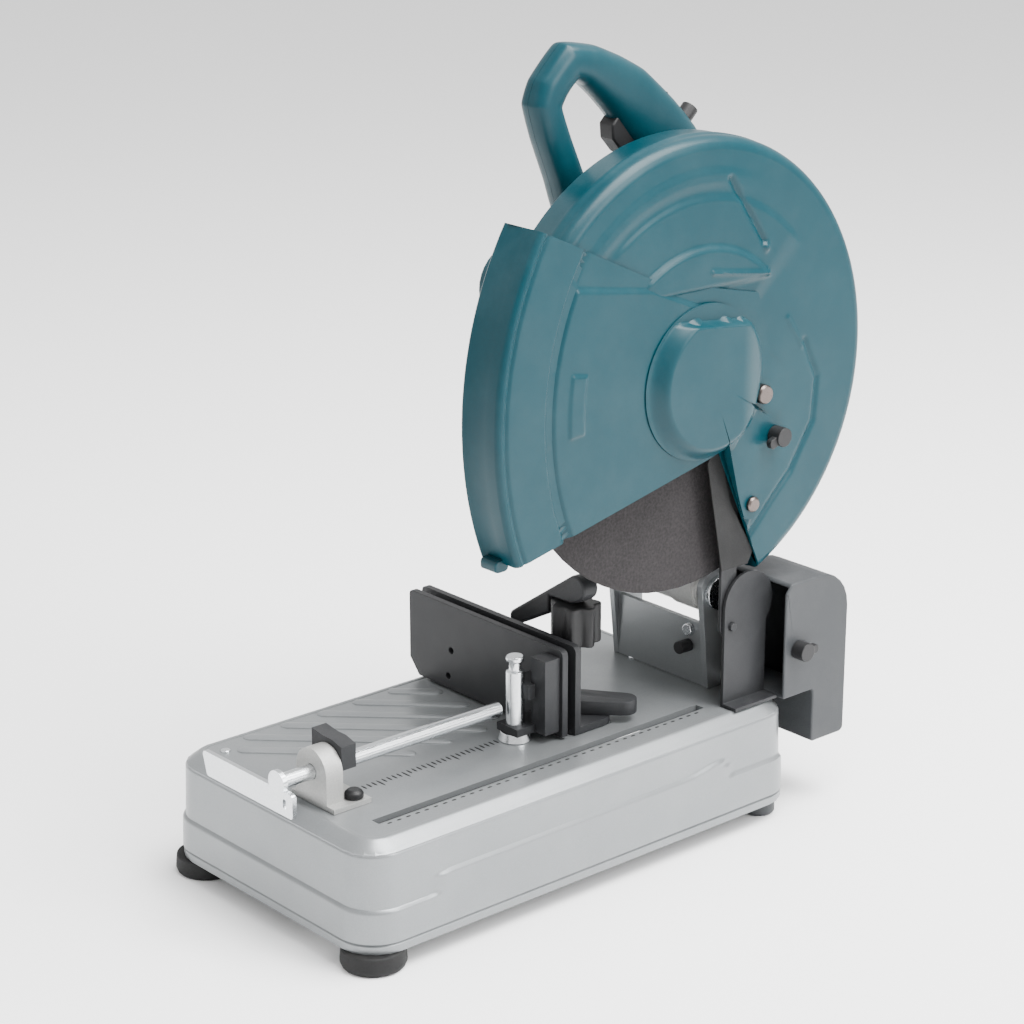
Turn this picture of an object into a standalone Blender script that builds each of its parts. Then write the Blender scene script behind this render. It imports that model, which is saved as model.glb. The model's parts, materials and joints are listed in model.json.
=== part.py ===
"""Abrasive chop saw for cutting steel, with a quick vise and a retracting wheel guard.

Every piece is drawn in the machine frame: metres, X to the operator's right, Y to the rear,
Z up, with the middle of the base on the floor at zero. The empty machine_frame then carries
the whole saw so that the middle of its outer box stands on the origin.
"""
import math

import bmesh
import bpy
from mathutils import Matrix, Vector

MM = 0.001

# Clearances
GAP = 0.3 * MM              # between faces that rest on each other
RUN_GAP = 0.25 * MM         # round a shaft that turns in its hole
SWEEP_GAP = 1.0 * MM        # between sheets that slide past each other

# Base and table
BASE_WIDTH = 260 * MM
BASE_LENGTH = 460 * MM
BASE_REAR = 230 * MM        # the base grows to the front, away from the pivot
FOOT_HEIGHT = 16 * MM
TABLE_TOP = 104 * MM
TABLE_THICKNESS = 5 * MM
BASE_WALL = 4 * MM
BASE_CORNER = 32 * MM
BASE_DRAFT = 4 * MM         # how far the sides lean in from bottom to top
TABLE_EDGE = 11 * MM        # width and height of the slope round the edge of the table
EDGE_DROP = 8 * MM
FLANGE_HEIGHT = 6 * MM
SLOT_WIDTH = 9 * MM
FOOT_RADIUS = 22 * MM
REAR_FOOT_RADIUS = 14 * MM

# Wheel, spindle and drive
WHEEL_RADIUS = 177.5 * MM
WHEEL_THICKNESS = 3 * MM
WHEEL_X = 88.5 * MM         # cutting plane
SPINDLE_Y = 126 * MM
SPINDLE_Z = 394 * MM
SPINDLE_RADIUS = 8 * MM
ARBOR_RADIUS = 12.7 * MM
FLANGE_RADIUS = 33 * MM
FLANGE_THICKNESS = 5 * MM
GEAR_TEETH = 48
PINION_TEETH = 9
GEAR_MODULE = 1.25 * MM
GEAR_WIDTH = 12 * MM
MOTOR_ANGLE = math.radians(84)   # direction from the spindle to the motor's axis
MOTOR_RADIUS = 42 * MM
MOTOR_WALL = 3 * MM
MOTOR_LENGTH = 118 * MM
END_COVER_RADIUS = 34 * MM
END_COVER_LENGTH = 24 * MM
STATOR_RADIUS = 36 * MM
ROTOR_RADIUS = 21 * MM
ARMATURE_SHAFT_RADIUS = 5 * MM

# Head pivot
PIVOT_Y = 195 * MM
PIVOT_Z = 190 * MM
PIVOT_RADIUS = 8 * MM
HUB_RADIUS = 20 * MM
ARM_BOW_Y = 166 * MM        # the arm bows to the rear, so that it clears the clamp when down
ARM_BOW_Z = 342 * MM
HEAD_RIGHT = 59.5 * MM      # right face of the arm and gear housing
HEAD_LEFT = 20 * MM
GEAR_CASE_RADIUS = 42 * MM
HEAD_SWING = 49             # degrees from the raised head to the lowest

# Wheel case
CASE_RADIUS = 192 * MM
CASE_BACK_X = 65 * MM
CASE_FACE_X = 107 * MM
CASE_WALL = 2 * MM
CASE_FILLET = 10 * MM
CASE_FRONT_ANGLE = math.radians(150)
WEDGE_APEX = (150 * MM, 333 * MM)
WEDGE_LOW = (199 * MM, 228 * MM)

# Retracting guard
GUARD_PIVOT_Y = 193 * MM
GUARD_PIVOT_Z = 372 * MM
GUARD_ARC_Y = 200 * MM
GUARD_ARC_Z = 388 * MM
GUARD_ARC_RADIUS = 288 * MM
GUARD_STEP_RADIUS = 238 * MM
GUARD_BACK_X = 72 * MM
GUARD_WALL = 2 * MM
GUARD_STEP = 3.5 * MM
GUARD_LIP = 5 * MM
GUARD_HUB_RADIUS = 31 * MM
GUARD_TOP_ANGLE = math.radians(148.8)
GUARD_LOW_ANGLE = math.radians(200.6)
LINK_OFFSET = (-20 * MM, -16 * MM)
LINK_THICKNESS = 3 * MM
LINK_HALF_WIDTH = 9 * MM
LINK_X = 96 * MM
LINK_PIN_RADIUS = 3.5 * MM

# Centre cover
COVER_RADIUS = 63 * MM
COVER_DOME = 8 * MM
SPINDLE_ACCESS = 38 * MM    # hole in the case and the guard, under the centre cover
COVER_HINGE_Y = 184 * MM
COVER_HINGE_Z = 281 * MM
WING_BOLT_Y = 208 * MM
WING_BOLT_Z = 335 * MM
BOLT_RADIUS = 4 * MM
WING_SHANK = 2.8 * MM        # captive in the cover: it ends short of the guard's face

# Handle
HANDLE_X = 28 * MM
HANDLE_HALF = 14 * MM
HANDLE_OUTER = [(48, 522), (24, 586), (16, 613), (37, 644), (49, 659), (80, 653), (133, 629), (165, 603),
                (190, 578), (208, 552), (212, 520), (196, 492), (176, 477), (88, 477)]
HANDLE_LOOP = [(86, 530), (66, 572), (50, 612), (57, 628), (68, 626), (92, 603), (112, 580), (130, 560),
               (134, 540), (112, 524)]
TRIGGER = [(132, 585), (124, 589), (103, 596), (97, 590), (98, 578), (109, 566), (121, 562), (128, 574)]
TRIGGER_HALF = 8 * MM
TRIGGER_PIVOT = (128 * MM, 582 * MM)
SWITCH_BOX = [(160, 612), (118, 620), (100, 612), (90, 596), (96, 575), (120, 556), (143, 568), (165, 592)]
SWITCH_BODY = [(156, 609), (122, 616), (118, 600), (136, 590), (140, 578), (160, 590)]
LOCK_BUTTON = (183 * MM, 586 * MM)
LOCK_BUTTON_ANGLE = math.radians(45)

# Vise and guide plate
SCREW_X = 31 * MM
SCREW_Z = 131 * MM
SCREW_RADIUS = 6 * MM
SCREW_REAR_Y = -17 * MM
BRACKET_Y = -205 * MM
BRACKET_DEPTH = 16 * MM
BRACKET_HALF = 15 * MM
CRANK_LENGTH = 97 * MM
CRANK_HEIGHT = 20 * MM
CRANK_THICKNESS = 4 * MM
PLATE_LEFT = -127 * MM
PLATE_RIGHT = 67 * MM
PLATE_TOP = 181 * MM
PLATE_THICKNESS = 6 * MM
VISE_PLATE_Y = 20 * MM
RIB_CLEARANCE = 2.4 * MM     # under the moving plate, over the low ribs pressed in the table
JAW_GAP = 8 * MM            # between the vise plate and the guide plate at rest
POST_RADIUS = 7.5 * MM
POST_X = 38 * MM
POST_Y = -5 * MM
POST_TOP = 176 * MM
ROD_X = 34.5 * MM
ROD_SETBACK = 23 * MM        # from the guide plate's rear face to the clamp rod
ROD_RADIUS = 5 * MM
KNOB_BOTTOM = 170 * MM
KNOB_HEIGHT = 34 * MM
KNOB_RADIUS = 19 * MM
FENCE_PIVOT_X = 60 * MM
FENCE_SWING = math.radians(45)

# Rear bracket, side plate and spark guard
REAR_BRACKET_Y = 187 * MM
REAR_BRACKET_LEFT = -50 * MM
REAR_BRACKET_RIGHT = 66 * MM
REAR_BRACKET_TOP = 160 * MM
BRACKET_SHEET = 5 * MM
SIDE_PLATE_X = 100 * MM
SIDE_PLATE_RADIUS = 28 * MM
SPARK_LEFT = 58 * MM
SPARK_RIGHT = 125 * MM
SPARK_FRONT = 217 * MM
SPARK_REAR = 293 * MM
SPARK_TOP = 205 * MM
SPARK_FOOT = 56 * MM
SPARK_WALL = 3 * MM

# Small hardware
SLOT_FRONT = -189 * MM
SLOT_REAR = 155 * MM
STOP_X = 43 * MM
STOP_Z = 152 * MM
LOCK_PIN_Z = 138 * MM
SPARK_BOLT_Y = 232 * MM
SPARK_BOLT_Z = 146 * MM
HUB_LEFT = -8 * MM
BEARING_RADIUS = 17.5 * MM
BEARING_WIDTH = 12 * MM
COVER_BEARING_RADIUS = 11 * MM
END_BEARING_RADIUS = 11 * MM
BRUSH_RADIUS = 6 * MM
LOCK_RADIUS = 3 * MM

# Worked out from the sizes above
TABLE_REST = TABLE_TOP + GAP
GEAR_RADIUS = GEAR_TEETH * GEAR_MODULE / 2
PINION_RADIUS = PINION_TEETH * GEAR_MODULE / 2
GEAR_DISTANCE = GEAR_RADIUS + PINION_RADIUS + 0.2 * MM
MOTOR_Y = SPINDLE_Y + GEAR_DISTANCE * math.cos(MOTOR_ANGLE)
MOTOR_Z = SPINDLE_Z + GEAR_DISTANCE * math.sin(MOTOR_ANGLE)
GUARD_SHEET_X = CASE_FACE_X + SWEEP_GAP
GUARD_SHEET_FRONT = GUARD_SHEET_X + GUARD_WALL
COVER_X = GUARD_SHEET_FRONT + SWEEP_GAP
COVER_FRONT = COVER_X + GUARD_WALL
GUARD_FACE_X = GUARD_SHEET_FRONT + GUARD_STEP
GUIDE_PLATE_Y = VISE_PLATE_Y + PLATE_THICKNESS + JAW_GAP
FENCE_PIVOT_Y = GUIDE_PLATE_Y + PLATE_THICKNESS / 2
ROD_Y = GUIDE_PLATE_Y + PLATE_THICKNESS + ROD_SETBACK
BASE_FRONT = BASE_REAR - BASE_LENGTH
CRANK_Y = BASE_FRONT - CRANK_THICKNESS - 4 * MM
REACH_RIGHT = SPARK_RIGHT + 12 * MM
REACH_LEFT = -BASE_WIDTH / 2 - 4 * MM
REACH_FRONT = CRANK_Y
REACH_REAR = SPINDLE_Y + CASE_RADIUS
FRAME_X = (REACH_RIGHT + REACH_LEFT) / 2
FRAME_Y = (REACH_FRONT + REACH_REAR) / 2
PIVOT_TO_ROD = math.hypot(ROD_X - FENCE_PIVOT_X, ROD_Y - FENCE_PIVOT_Y)
ROD_ANGLE = math.atan2(ROD_Y - FENCE_PIVOT_Y, ROD_X - FENCE_PIVOT_X)
CLASP_X = SCREW_X - 18 * MM
CLASP_Z = SCREW_Z - 11 * MM
FOOT_BOLT_X = SCREW_X + 19 * MM
FOOT_BOLT_Y = BRACKET_Y + BRACKET_DEPTH + 10 * MM
BEARING_RIGHT = HEAD_RIGHT - 4 * MM
GEAR_COVER_LEFT = HEAD_LEFT - 8 * MM
LOCK_X = HEAD_LEFT + GEAR_WIDTH + 7 * MM
SPINDLE_LEFT = GEAR_COVER_LEFT + 1 * MM
WHEEL_LEFT = WHEEL_X - WHEEL_THICKNESS / 2
WHEEL_RIGHT = WHEEL_X + WHEEL_THICKNESS / 2

# Directions that a flat outline or a turned profile is built along
ALONG = {
    "X": Matrix(((0, 0, 1), (1, 0, 0), (0, 1, 0))).to_4x4(),
    "Y": Matrix(((1, 0, 0), (0, 0, -1), (0, 1, 0))).to_4x4(),
    "Z": Matrix.Identity(4),
}

PAINTS = {
    "teal_paint": ((0.004, 0.16, 0.19), 0.38, 0.0),
    "silver_paint": ((0.42, 0.44, 0.44), 0.45, 0.35),
    "dark_sheet": ((0.035, 0.038, 0.04), 0.5, 0.3),
    "black_plastic": ((0.012, 0.012, 0.013), 0.55, 0.0),
    "grey_plastic": ((0.06, 0.062, 0.066), 0.6, 0.0),
    "rubber": ((0.01, 0.01, 0.01), 0.8, 0.0),
    "zinc": ((0.6, 0.62, 0.62), 0.3, 1.0),
    "cast_alloy": ((0.5, 0.5, 0.48), 0.5, 0.8),
    "steel": ((0.35, 0.35, 0.36), 0.35, 1.0),
    "abrasive": ((0.03, 0.026, 0.025), 0.95, 0.0),
    "copper": ((0.6, 0.25, 0.12), 0.35, 1.0),
}


def clear_scene():
    for old in list(bpy.data.objects):
        bpy.data.objects.remove(old, do_unlink=True)


def new_collection(name):
    collection = bpy.data.collections.new(name)
    bpy.context.scene.collection.children.link(collection)
    return collection


def make_paint(name):
    colour, roughness, metallic = PAINTS[name]
    paint = bpy.data.materials.new(name)
    paint.use_nodes = True
    shader = paint.node_tree.nodes["Principled BSDF"]
    shader.inputs["Base Color"].default_value = (*colour, 1)
    shader.inputs["Roughness"].default_value = roughness
    shader.inputs["Metallic"].default_value = metallic
    return paint


clear_scene()
parts = new_collection("abrasive_chop_saw")
cutters = new_collection("cutters")
paints = {name: make_paint(name) for name in PAINTS}
frame = bpy.data.objects.new("machine_frame", None)
parts.objects.link(frame)
frame.location = (-FRAME_X, -FRAME_Y, 0)
axis_points = {frame.name: Vector((0, 0, 0))}


def make_axis(name, point, parent=frame):
    """An empty on a joint's axis, at a point of the machine frame, carrying that body."""
    axis = bpy.data.objects.new(name, None)
    parts.objects.link(axis)
    axis.parent = parent
    axis.location = Vector(point) - axis_points[parent.name]
    axis_points[name] = Vector(point)
    return axis


def keep(shape, name, paint, axis=frame):
    """Name a finished shape, paint it and hang it on its body's axis."""
    shape.name = name
    shape.data.name = name
    shape.data.materials.clear()
    shape.data.materials.append(paints[paint])
    shape.data.shade_smooth()
    shape.data.set_sharp_from_angle(angle=math.radians(35))
    shape.parent = axis
    shape.matrix_parent_inverse = Matrix.Translation(-axis_points[axis.name])
    return shape


def from_bmesh(mesh_builder, name="shape"):
    mesh = bpy.data.meshes.new(name)
    mesh_builder.normal_update()
    mesh_builder.to_mesh(mesh)
    mesh_builder.free()
    shape = bpy.data.objects.new(name, mesh)
    parts.objects.link(shape)
    return shape


def box(low, high, bevel=0.0, steps=2):
    """A block between two corners, its edges rounded by bevel."""
    builder = bmesh.new()
    size = Vector(high) - Vector(low)
    middle = (Vector(high) + Vector(low)) / 2
    bmesh.ops.create_cube(builder, size=1.0, matrix=Matrix.Translation(middle) @ Matrix.Diagonal((*size, 1)))
    shape = from_bmesh(builder)
    if bevel:
        soften(shape, bevel, steps)
    return shape


def soften(shape, width, steps=2, angle=40):
    rounding = shape.modifiers.new("rounding", "BEVEL")
    rounding.width = width
    rounding.segments = steps
    rounding.limit_method = "ANGLE"
    rounding.angle_limit = math.radians(angle)
    return shape


def rod(along, start, length, radius, sides=24, end_radius=None):
    """A cylinder, or a cone, from a start point along X, Y or Z."""
    builder = bmesh.new()
    direction = {"X": Vector((1, 0, 0)), "Y": Vector((0, 1, 0)), "Z": Vector((0, 0, 1))}[along]
    turn = Vector((0, 0, 1)).rotation_difference(direction).to_matrix().to_4x4()
    place = Matrix.Translation(Vector(start) + direction * length / 2) @ turn
    bmesh.ops.create_cone(
        builder, cap_ends=True, segments=sides, radius1=radius,
        radius2=radius if end_radius is None else end_radius, depth=length, matrix=place,
    )
    return from_bmesh(builder)


def turned(profile, along, centre, steps=32):
    """Turn (radius, height) points round X, Y or Z; the outer side runs from high to low."""
    mesh = bpy.data.meshes.new("profile")
    closed = profile[0][0] > 0
    edges = [(i, i + 1) for i in range(len(profile) - 1)]
    if closed:
        edges.append((len(profile) - 1, 0))
    mesh.from_pydata([(radius, 0, height) for radius, height in profile], edges, [])
    shape = bpy.data.objects.new("turned", mesh)
    parts.objects.link(shape)
    screw = shape.modifiers.new("turn", "SCREW")
    screw.axis = "Z"
    screw.steps = steps
    screw.render_steps = steps
    screw.use_merge_vertices = True
    screw.merge_threshold = 0.00001
    mesh_now = baked(shape)
    direction = {"X": Vector((1, 0, 0)), "Y": Vector((0, 1, 0)), "Z": Vector((0, 0, 1))}[along]
    turn = Vector((0, 0, 1)).rotation_difference(direction).to_matrix().to_4x4()
    mesh_now.data.transform(Matrix.Translation(Vector(centre)) @ turn)
    return mesh_now


def baked(shape):
    """Replace a curve or a shape with modifiers by the plain mesh that it makes."""
    shape.parent = frame
    bpy.context.view_layer.update()
    evaluated = shape.evaluated_get(bpy.context.evaluated_depsgraph_get())
    mesh = bpy.data.meshes.new_from_object(evaluated)
    builder = bmesh.new()
    builder.from_mesh(mesh)
    bmesh.ops.remove_doubles(builder, verts=builder.verts, dist=0.005 * MM)
    builder.to_mesh(mesh)
    builder.free()
    fresh = bpy.data.objects.new("baked", mesh)
    parts.objects.link(fresh)
    bpy.data.objects.remove(shape, do_unlink=True)
    return fresh


def sheet(loops, along, low, high, edge=0.0):
    """A flat piece with straight sides. Along X its outline is (y, z), along Y (x, z), along Z (x, y).

    The first loop is the outline and the others are holes in it; edge rounds both rims.
    """
    curve = bpy.data.curves.new("outline", "CURVE")
    curve.dimensions = "2D"
    curve.fill_mode = "BOTH"
    curve.extrude = (high - low) / 2 - edge
    curve.bevel_depth = edge
    curve.bevel_resolution = 1
    curve.offset = -edge
    for loop in loops:
        spline = curve.splines.new("POLY")
        spline.points.add(len(loop) - 1)
        for point, (u, v) in zip(spline.points, loop):
            point.co = (u, v, 0, 1)
        spline.use_cyclic_u = True
    outline = bpy.data.objects.new("outline", curve)
    parts.objects.link(outline)
    shape = baked(outline)
    middle = (low + high) / 2
    shift = {"X": (middle, 0, 0), "Y": (0, middle, 0), "Z": (0, 0, middle)}[along]
    shape.data.transform(Matrix.Translation(Vector(shift)) @ ALONG[along])
    return shape


def arc(centre, radius, start, end, steps):
    """Points of a circle from a start angle to an end angle, in radians, both ends included."""
    return [
        (centre[0] + radius * math.cos(start + (end - start) * i / steps),
         centre[1] + radius * math.sin(start + (end - start) * i / steps))
        for i in range(steps + 1)
    ]


def circle(centre, radius, steps=24):
    return arc(centre, radius, 0, math.tau, steps)[:-1]


def rounded(corners, radius, steps=4):
    """A polygon whose corners are rounded; radius is one value or one for each corner."""
    count = len(corners)
    radii = radius if isinstance(radius, (list, tuple)) else [radius] * count
    points = []
    for i, corner in enumerate(corners):
        here = Vector(corner)
        back = (Vector(corners[i - 1]) - here)
        ahead = (Vector(corners[(i + 1) % count]) - here)
        limit = min(back.length, ahead.length) * 0.49
        half = back.angle(ahead) / 2
        if radii[i] <= 0:
            points.append(tuple(here))
            continue
        reach = min(radii[i] / math.tan(half), limit)
        bend = reach * math.tan(half)
        start = here + back.normalized() * reach
        end = here + ahead.normalized() * reach
        middle = here + (back.normalized() + ahead.normalized()).normalized() * (bend / math.sin(half))
        first = (start - middle)
        sweep = first.angle_signed(end - middle)
        for step in range(steps + 1):
            turn = -sweep * step / steps
            points.append((
                middle.x + first.x * math.cos(turn) - first.y * math.sin(turn),
                middle.y + first.x * math.sin(turn) + first.y * math.cos(turn),
            ))
    return points


def hull(circles, steps=12):
    """The outline of a band pulled tight round some circles, each (u, v, radius)."""
    cloud = sorted({p for u, v, r in circles for p in circle((u, v), r, steps * 2)})

    def half(points):
        chain = []
        for p in points:
            while len(chain) > 1 and cross(chain[-2], chain[-1], p) <= 1e-12:
                chain.pop()
            chain.append(p)
        return chain[:-1]

    def cross(a, b, c):
        return (b[0] - a[0]) * (c[1] - a[1]) - (b[1] - a[1]) * (c[0] - a[0])

    return half(cloud) + half(cloud[::-1])


def boolean(shape, other, operation):
    change = shape.modifiers.new(operation.lower(), "BOOLEAN")
    change.operation = operation
    change.solver = "EXACT"
    change.object = other
    return change


def cut(shape, *tools):
    for tool in tools:
        combine(shape, tool, "DIFFERENCE")
    return shape


def join(shape, *others):
    for other in others:
        combine(shape, other, "UNION")
    return shape


def common(shape, other):
    combine(shape, other, "INTERSECT")
    return shape


def combine(shape, tool, operation):
    """Cut, join or intersect with a tool, which then goes to the cutters' collection."""
    boolean(shape, tool, operation)
    parts.objects.unlink(tool)
    cutters.objects.link(tool)
    tool.hide_render = True
    tool.display_type = "WIRE"
    tool.name = "cutter"
    tool.parent = frame


def bolt(along, start, length, radius, head_radius, head_length, sides=16, head_at_start=False):
    """A turned bolt: shank from start, head at the far end or, if asked, at the start."""
    shank, head = (radius, head_radius) if not head_at_start else (head_radius, radius)
    first = length if not head_at_start else head_length
    total = length + head_length
    profile = [(0, total), (head if not head_at_start else radius, total)]
    profile += [(profile[1][0], first), (shank, first), (shank, 0), (0, 0)]
    return turned(profile, along, start, sides)


# ---------------------------------------------------------------- base
def base_ring(inset, height):
    """The base's rounded rectangle, drawn in by inset, as points at one height."""
    half_width = BASE_WIDTH / 2 - inset
    rear, front = BASE_REAR - inset, BASE_FRONT + inset
    corners = [(half_width, rear), (-half_width, rear), (-half_width, front), (half_width, front)]
    return [(x, y, height) for x, y in rounded(corners, BASE_CORNER - inset, 5)]


def loft(rings):
    """A closed body through rings of equal count, capped at both ends."""
    builder = bmesh.new()
    loops = [[builder.verts.new(point) for point in ring] for ring in rings]
    for lower, upper in zip(loops, loops[1:]):
        for i in range(len(lower)):
            j = (i + 1) % len(lower)
            builder.faces.new((lower[i], lower[j], upper[j], upper[i]))
    builder.faces.new(loops[0][::-1])
    builder.faces.new(loops[-1])
    bmesh.ops.recalc_face_normals(builder, faces=builder.faces)
    return from_bmesh(builder)


def arc_slot(centre, radius, half_width, start, end, steps=8):
    """A slot bent round a centre, with round ends."""
    outer = arc(centre, radius + half_width, start, end, steps)
    far = (centre[0] + radius * math.cos(end), centre[1] + radius * math.sin(end))
    near = (centre[0] + radius * math.cos(start), centre[1] + radius * math.sin(start))
    inner = arc(centre, radius - half_width, end, start, steps)
    return (outer + arc(far, half_width, end, end + math.pi, 8)[1:-1] + inner
            + arc(near, half_width, start + math.pi, start + math.tau, 8)[1:-1])


def make_base():
    ceiling = TABLE_TOP - TABLE_THICKNESS
    flange_top = FOOT_HEIGHT + FLANGE_HEIGHT
    casting = loft([
        base_ring(BASE_DRAFT + BASE_WALL + TABLE_EDGE, ceiling),
        base_ring(BASE_DRAFT + BASE_WALL, ceiling - EDGE_DROP),
        base_ring(BASE_WALL, FOOT_HEIGHT),
        base_ring(0, FOOT_HEIGHT),
        base_ring(0, flange_top),
        base_ring(1.5 * MM, flange_top + 1 * MM),
        base_ring(BASE_DRAFT, TABLE_TOP - EDGE_DROP),
        base_ring(BASE_DRAFT + TABLE_EDGE, TABLE_TOP),
    ])
    blade_slot = box((WHEEL_X - SLOT_WIDTH / 2, SLOT_FRONT, ceiling - 5 * MM),
                     (WHEEL_X + SLOT_WIDTH / 2, SLOT_REAR, TABLE_TOP + 5 * MM))
    clamp_slot = sheet([arc_slot((FENCE_PIVOT_X, FENCE_PIVOT_Y), PIVOT_TO_ROD, ROD_RADIUS + GAP,
                                 ROD_ANGLE - FENCE_SWING, ROD_ANGLE)],
                       "Z", ceiling - 5 * MM, TABLE_TOP + 5 * MM)
    fence_pin = rod("Z", (FENCE_PIVOT_X, FENCE_PIVOT_Y, ceiling - 5 * MM),
                    TABLE_THICKNESS + 10 * MM, BOLT_RADIUS + RUN_GAP)
    cut(casting, blade_slot, clamp_slot, fence_pin)
    keep(casting, "base", "silver_paint")


def make_feet():
    inset = 22 * MM
    for side, side_name in ((-1, "left"), (1, "right")):
        x = side * (BASE_WIDTH / 2 - inset)
        top = FOOT_HEIGHT - GAP
        front = turned([(0, top), (FOOT_RADIUS + 3 * MM, top), (FOOT_RADIUS + 4 * MM, 4 * MM),
                        (FOOT_RADIUS + 2 * MM, 0), (0, 0)], "Z", (x, BASE_FRONT + inset, 0), 24)
        keep(front, "foot_front_" + side_name, "rubber")
        rear = turned([(0, top), (REAR_FOOT_RADIUS, top), (REAR_FOOT_RADIUS, 2 * MM),
                       (REAR_FOOT_RADIUS - 2 * MM, 0), (0, 0)], "Z", (x, BASE_REAR - inset, 0), 20)
        keep(rear, "foot_rear_" + side_name, "grey_plastic")


# ---------------------------------------------------------------- rear bracket and pivot
def make_rear_bracket():
    ear_back = PIVOT_Y + HUB_RADIUS

    def ear(low):
        top = arc((PIVOT_Y, PIVOT_Z), HUB_RADIUS, 0, math.pi - 0.4, 10)
        return sheet([[(ear_back, TABLE_REST)] + top + [(REAR_BRACKET_Y, TABLE_REST)]],
                     "X", low, low + BRACKET_SHEET + 1 * MM)

    left, right = REAR_BRACKET_LEFT, REAR_BRACKET_RIGHT
    web = box((left, REAR_BRACKET_Y, TABLE_REST), (right, REAR_BRACKET_Y + BRACKET_SHEET, REAR_BRACKET_TOP))
    floor = box((left, REAR_BRACKET_Y, TABLE_REST), (right, ear_back, TABLE_REST + BRACKET_SHEET))
    join(web, ear(left), ear(right - BRACKET_SHEET - 1 * MM), floor)
    cut(web, rod("X", (left - 10 * MM, PIVOT_Y, PIVOT_Z), right - left + 20 * MM, PIVOT_RADIUS + RUN_GAP),
        rod("Y", (STOP_X, REAR_BRACKET_Y - 5 * MM, STOP_Z), 20 * MM, 3 * MM + RUN_GAP),
        rod("Y", (STOP_X, REAR_BRACKET_Y - 5 * MM, LOCK_PIN_Z), 20 * MM, 3 * MM + RUN_GAP))
    keep(web, "rear_bracket", "silver_paint")

    shaft_left = left - 4 * MM
    shaft = bolt("X", (shaft_left, PIVOT_Y, PIVOT_Z), right + GAP - shaft_left, PIVOT_RADIUS,
                 15 * MM, 5 * MM, 24)
    keep(shaft, "pivot_shaft", "zinc")

    stop_bolt = turned([(0, 12 * MM), (3 * MM, 12 * MM), (3 * MM, -GAP), (6 * MM, -GAP),
                        (5 * MM, -4.5 * MM), (0, -4.5 * MM)], "Y", (STOP_X, REAR_BRACKET_Y, STOP_Z), 20)
    keep(stop_bolt, "stop_bolt", "zinc")


def make_spring():
    """The torsion spring that lifts the head, wound on the pivot shaft."""
    turns, per_turn = 5, 10
    wire = 2 * MM
    radius = PIVOT_RADIUS + wire + 3 * MM
    left = REAR_BRACKET_LEFT + BRACKET_SHEET + 4 * MM
    right = -12 * MM
    curve = bpy.data.curves.new("spring", "CURVE")
    curve.dimensions = "3D"
    curve.bevel_depth = wire
    curve.bevel_resolution = 1
    curve.use_fill_caps = True
    spline = curve.splines.new("POLY")
    count = turns * per_turn + 1
    spline.points.add(count - 1)
    for i, point in enumerate(spline.points):
        angle = math.tau * i / per_turn
        x = left + wire + (right - left - 2 * wire) * i / (count - 1)
        point.co = (x, PIVOT_Y + radius * math.cos(angle), PIVOT_Z + radius * math.sin(angle), 1)
    shape = bpy.data.objects.new("spring", curve)
    parts.objects.link(shape)
    keep(baked(shape), "head_spring", "steel")


def make_lock_pin():
    axis = make_axis("lock_pin_axis", (STOP_X, REAR_BRACKET_Y, LOCK_PIN_Z))
    pin = turned([(0, 12 * MM), (3 * MM, 12 * MM), (3 * MM, -1 * MM), (5.5 * MM, -1 * MM),
                  (5.5 * MM, -14 * MM), (0, -14 * MM)], "Y", (STOP_X, REAR_BRACKET_Y, LOCK_PIN_Z), 16)
    keep(pin, "lock_pin", "black_plastic", axis)


def make_side_plate():
    """The black upright beside the pivot that carries the lower end of the guard's link."""
    radius = SIDE_PLATE_RADIUS
    rear = 0.75 * radius
    outline = ([(PIVOT_Y + rear, TABLE_REST)]
               + arc((PIVOT_Y, PIVOT_Z), radius, -math.acos(rear / radius), math.pi, 16)
               + [(PIVOT_Y - radius, TABLE_REST)])
    lower = (PIVOT_Y + LINK_OFFSET[0], PIVOT_Z + LINK_OFFSET[1])
    plate = sheet([outline, circle(lower, LINK_PIN_RADIUS + RUN_GAP, 16)],
                  "X", SIDE_PLATE_X, SIDE_PLATE_X + LINK_THICKNESS)
    foot = box((SIDE_PLATE_X, PIVOT_Y - radius, TABLE_REST),
               (SIDE_PLATE_X + 18 * MM, PIVOT_Y + rear, TABLE_REST + LINK_THICKNESS))
    join(plate, foot)
    keep(plate, "side_plate", "dark_sheet")


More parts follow.
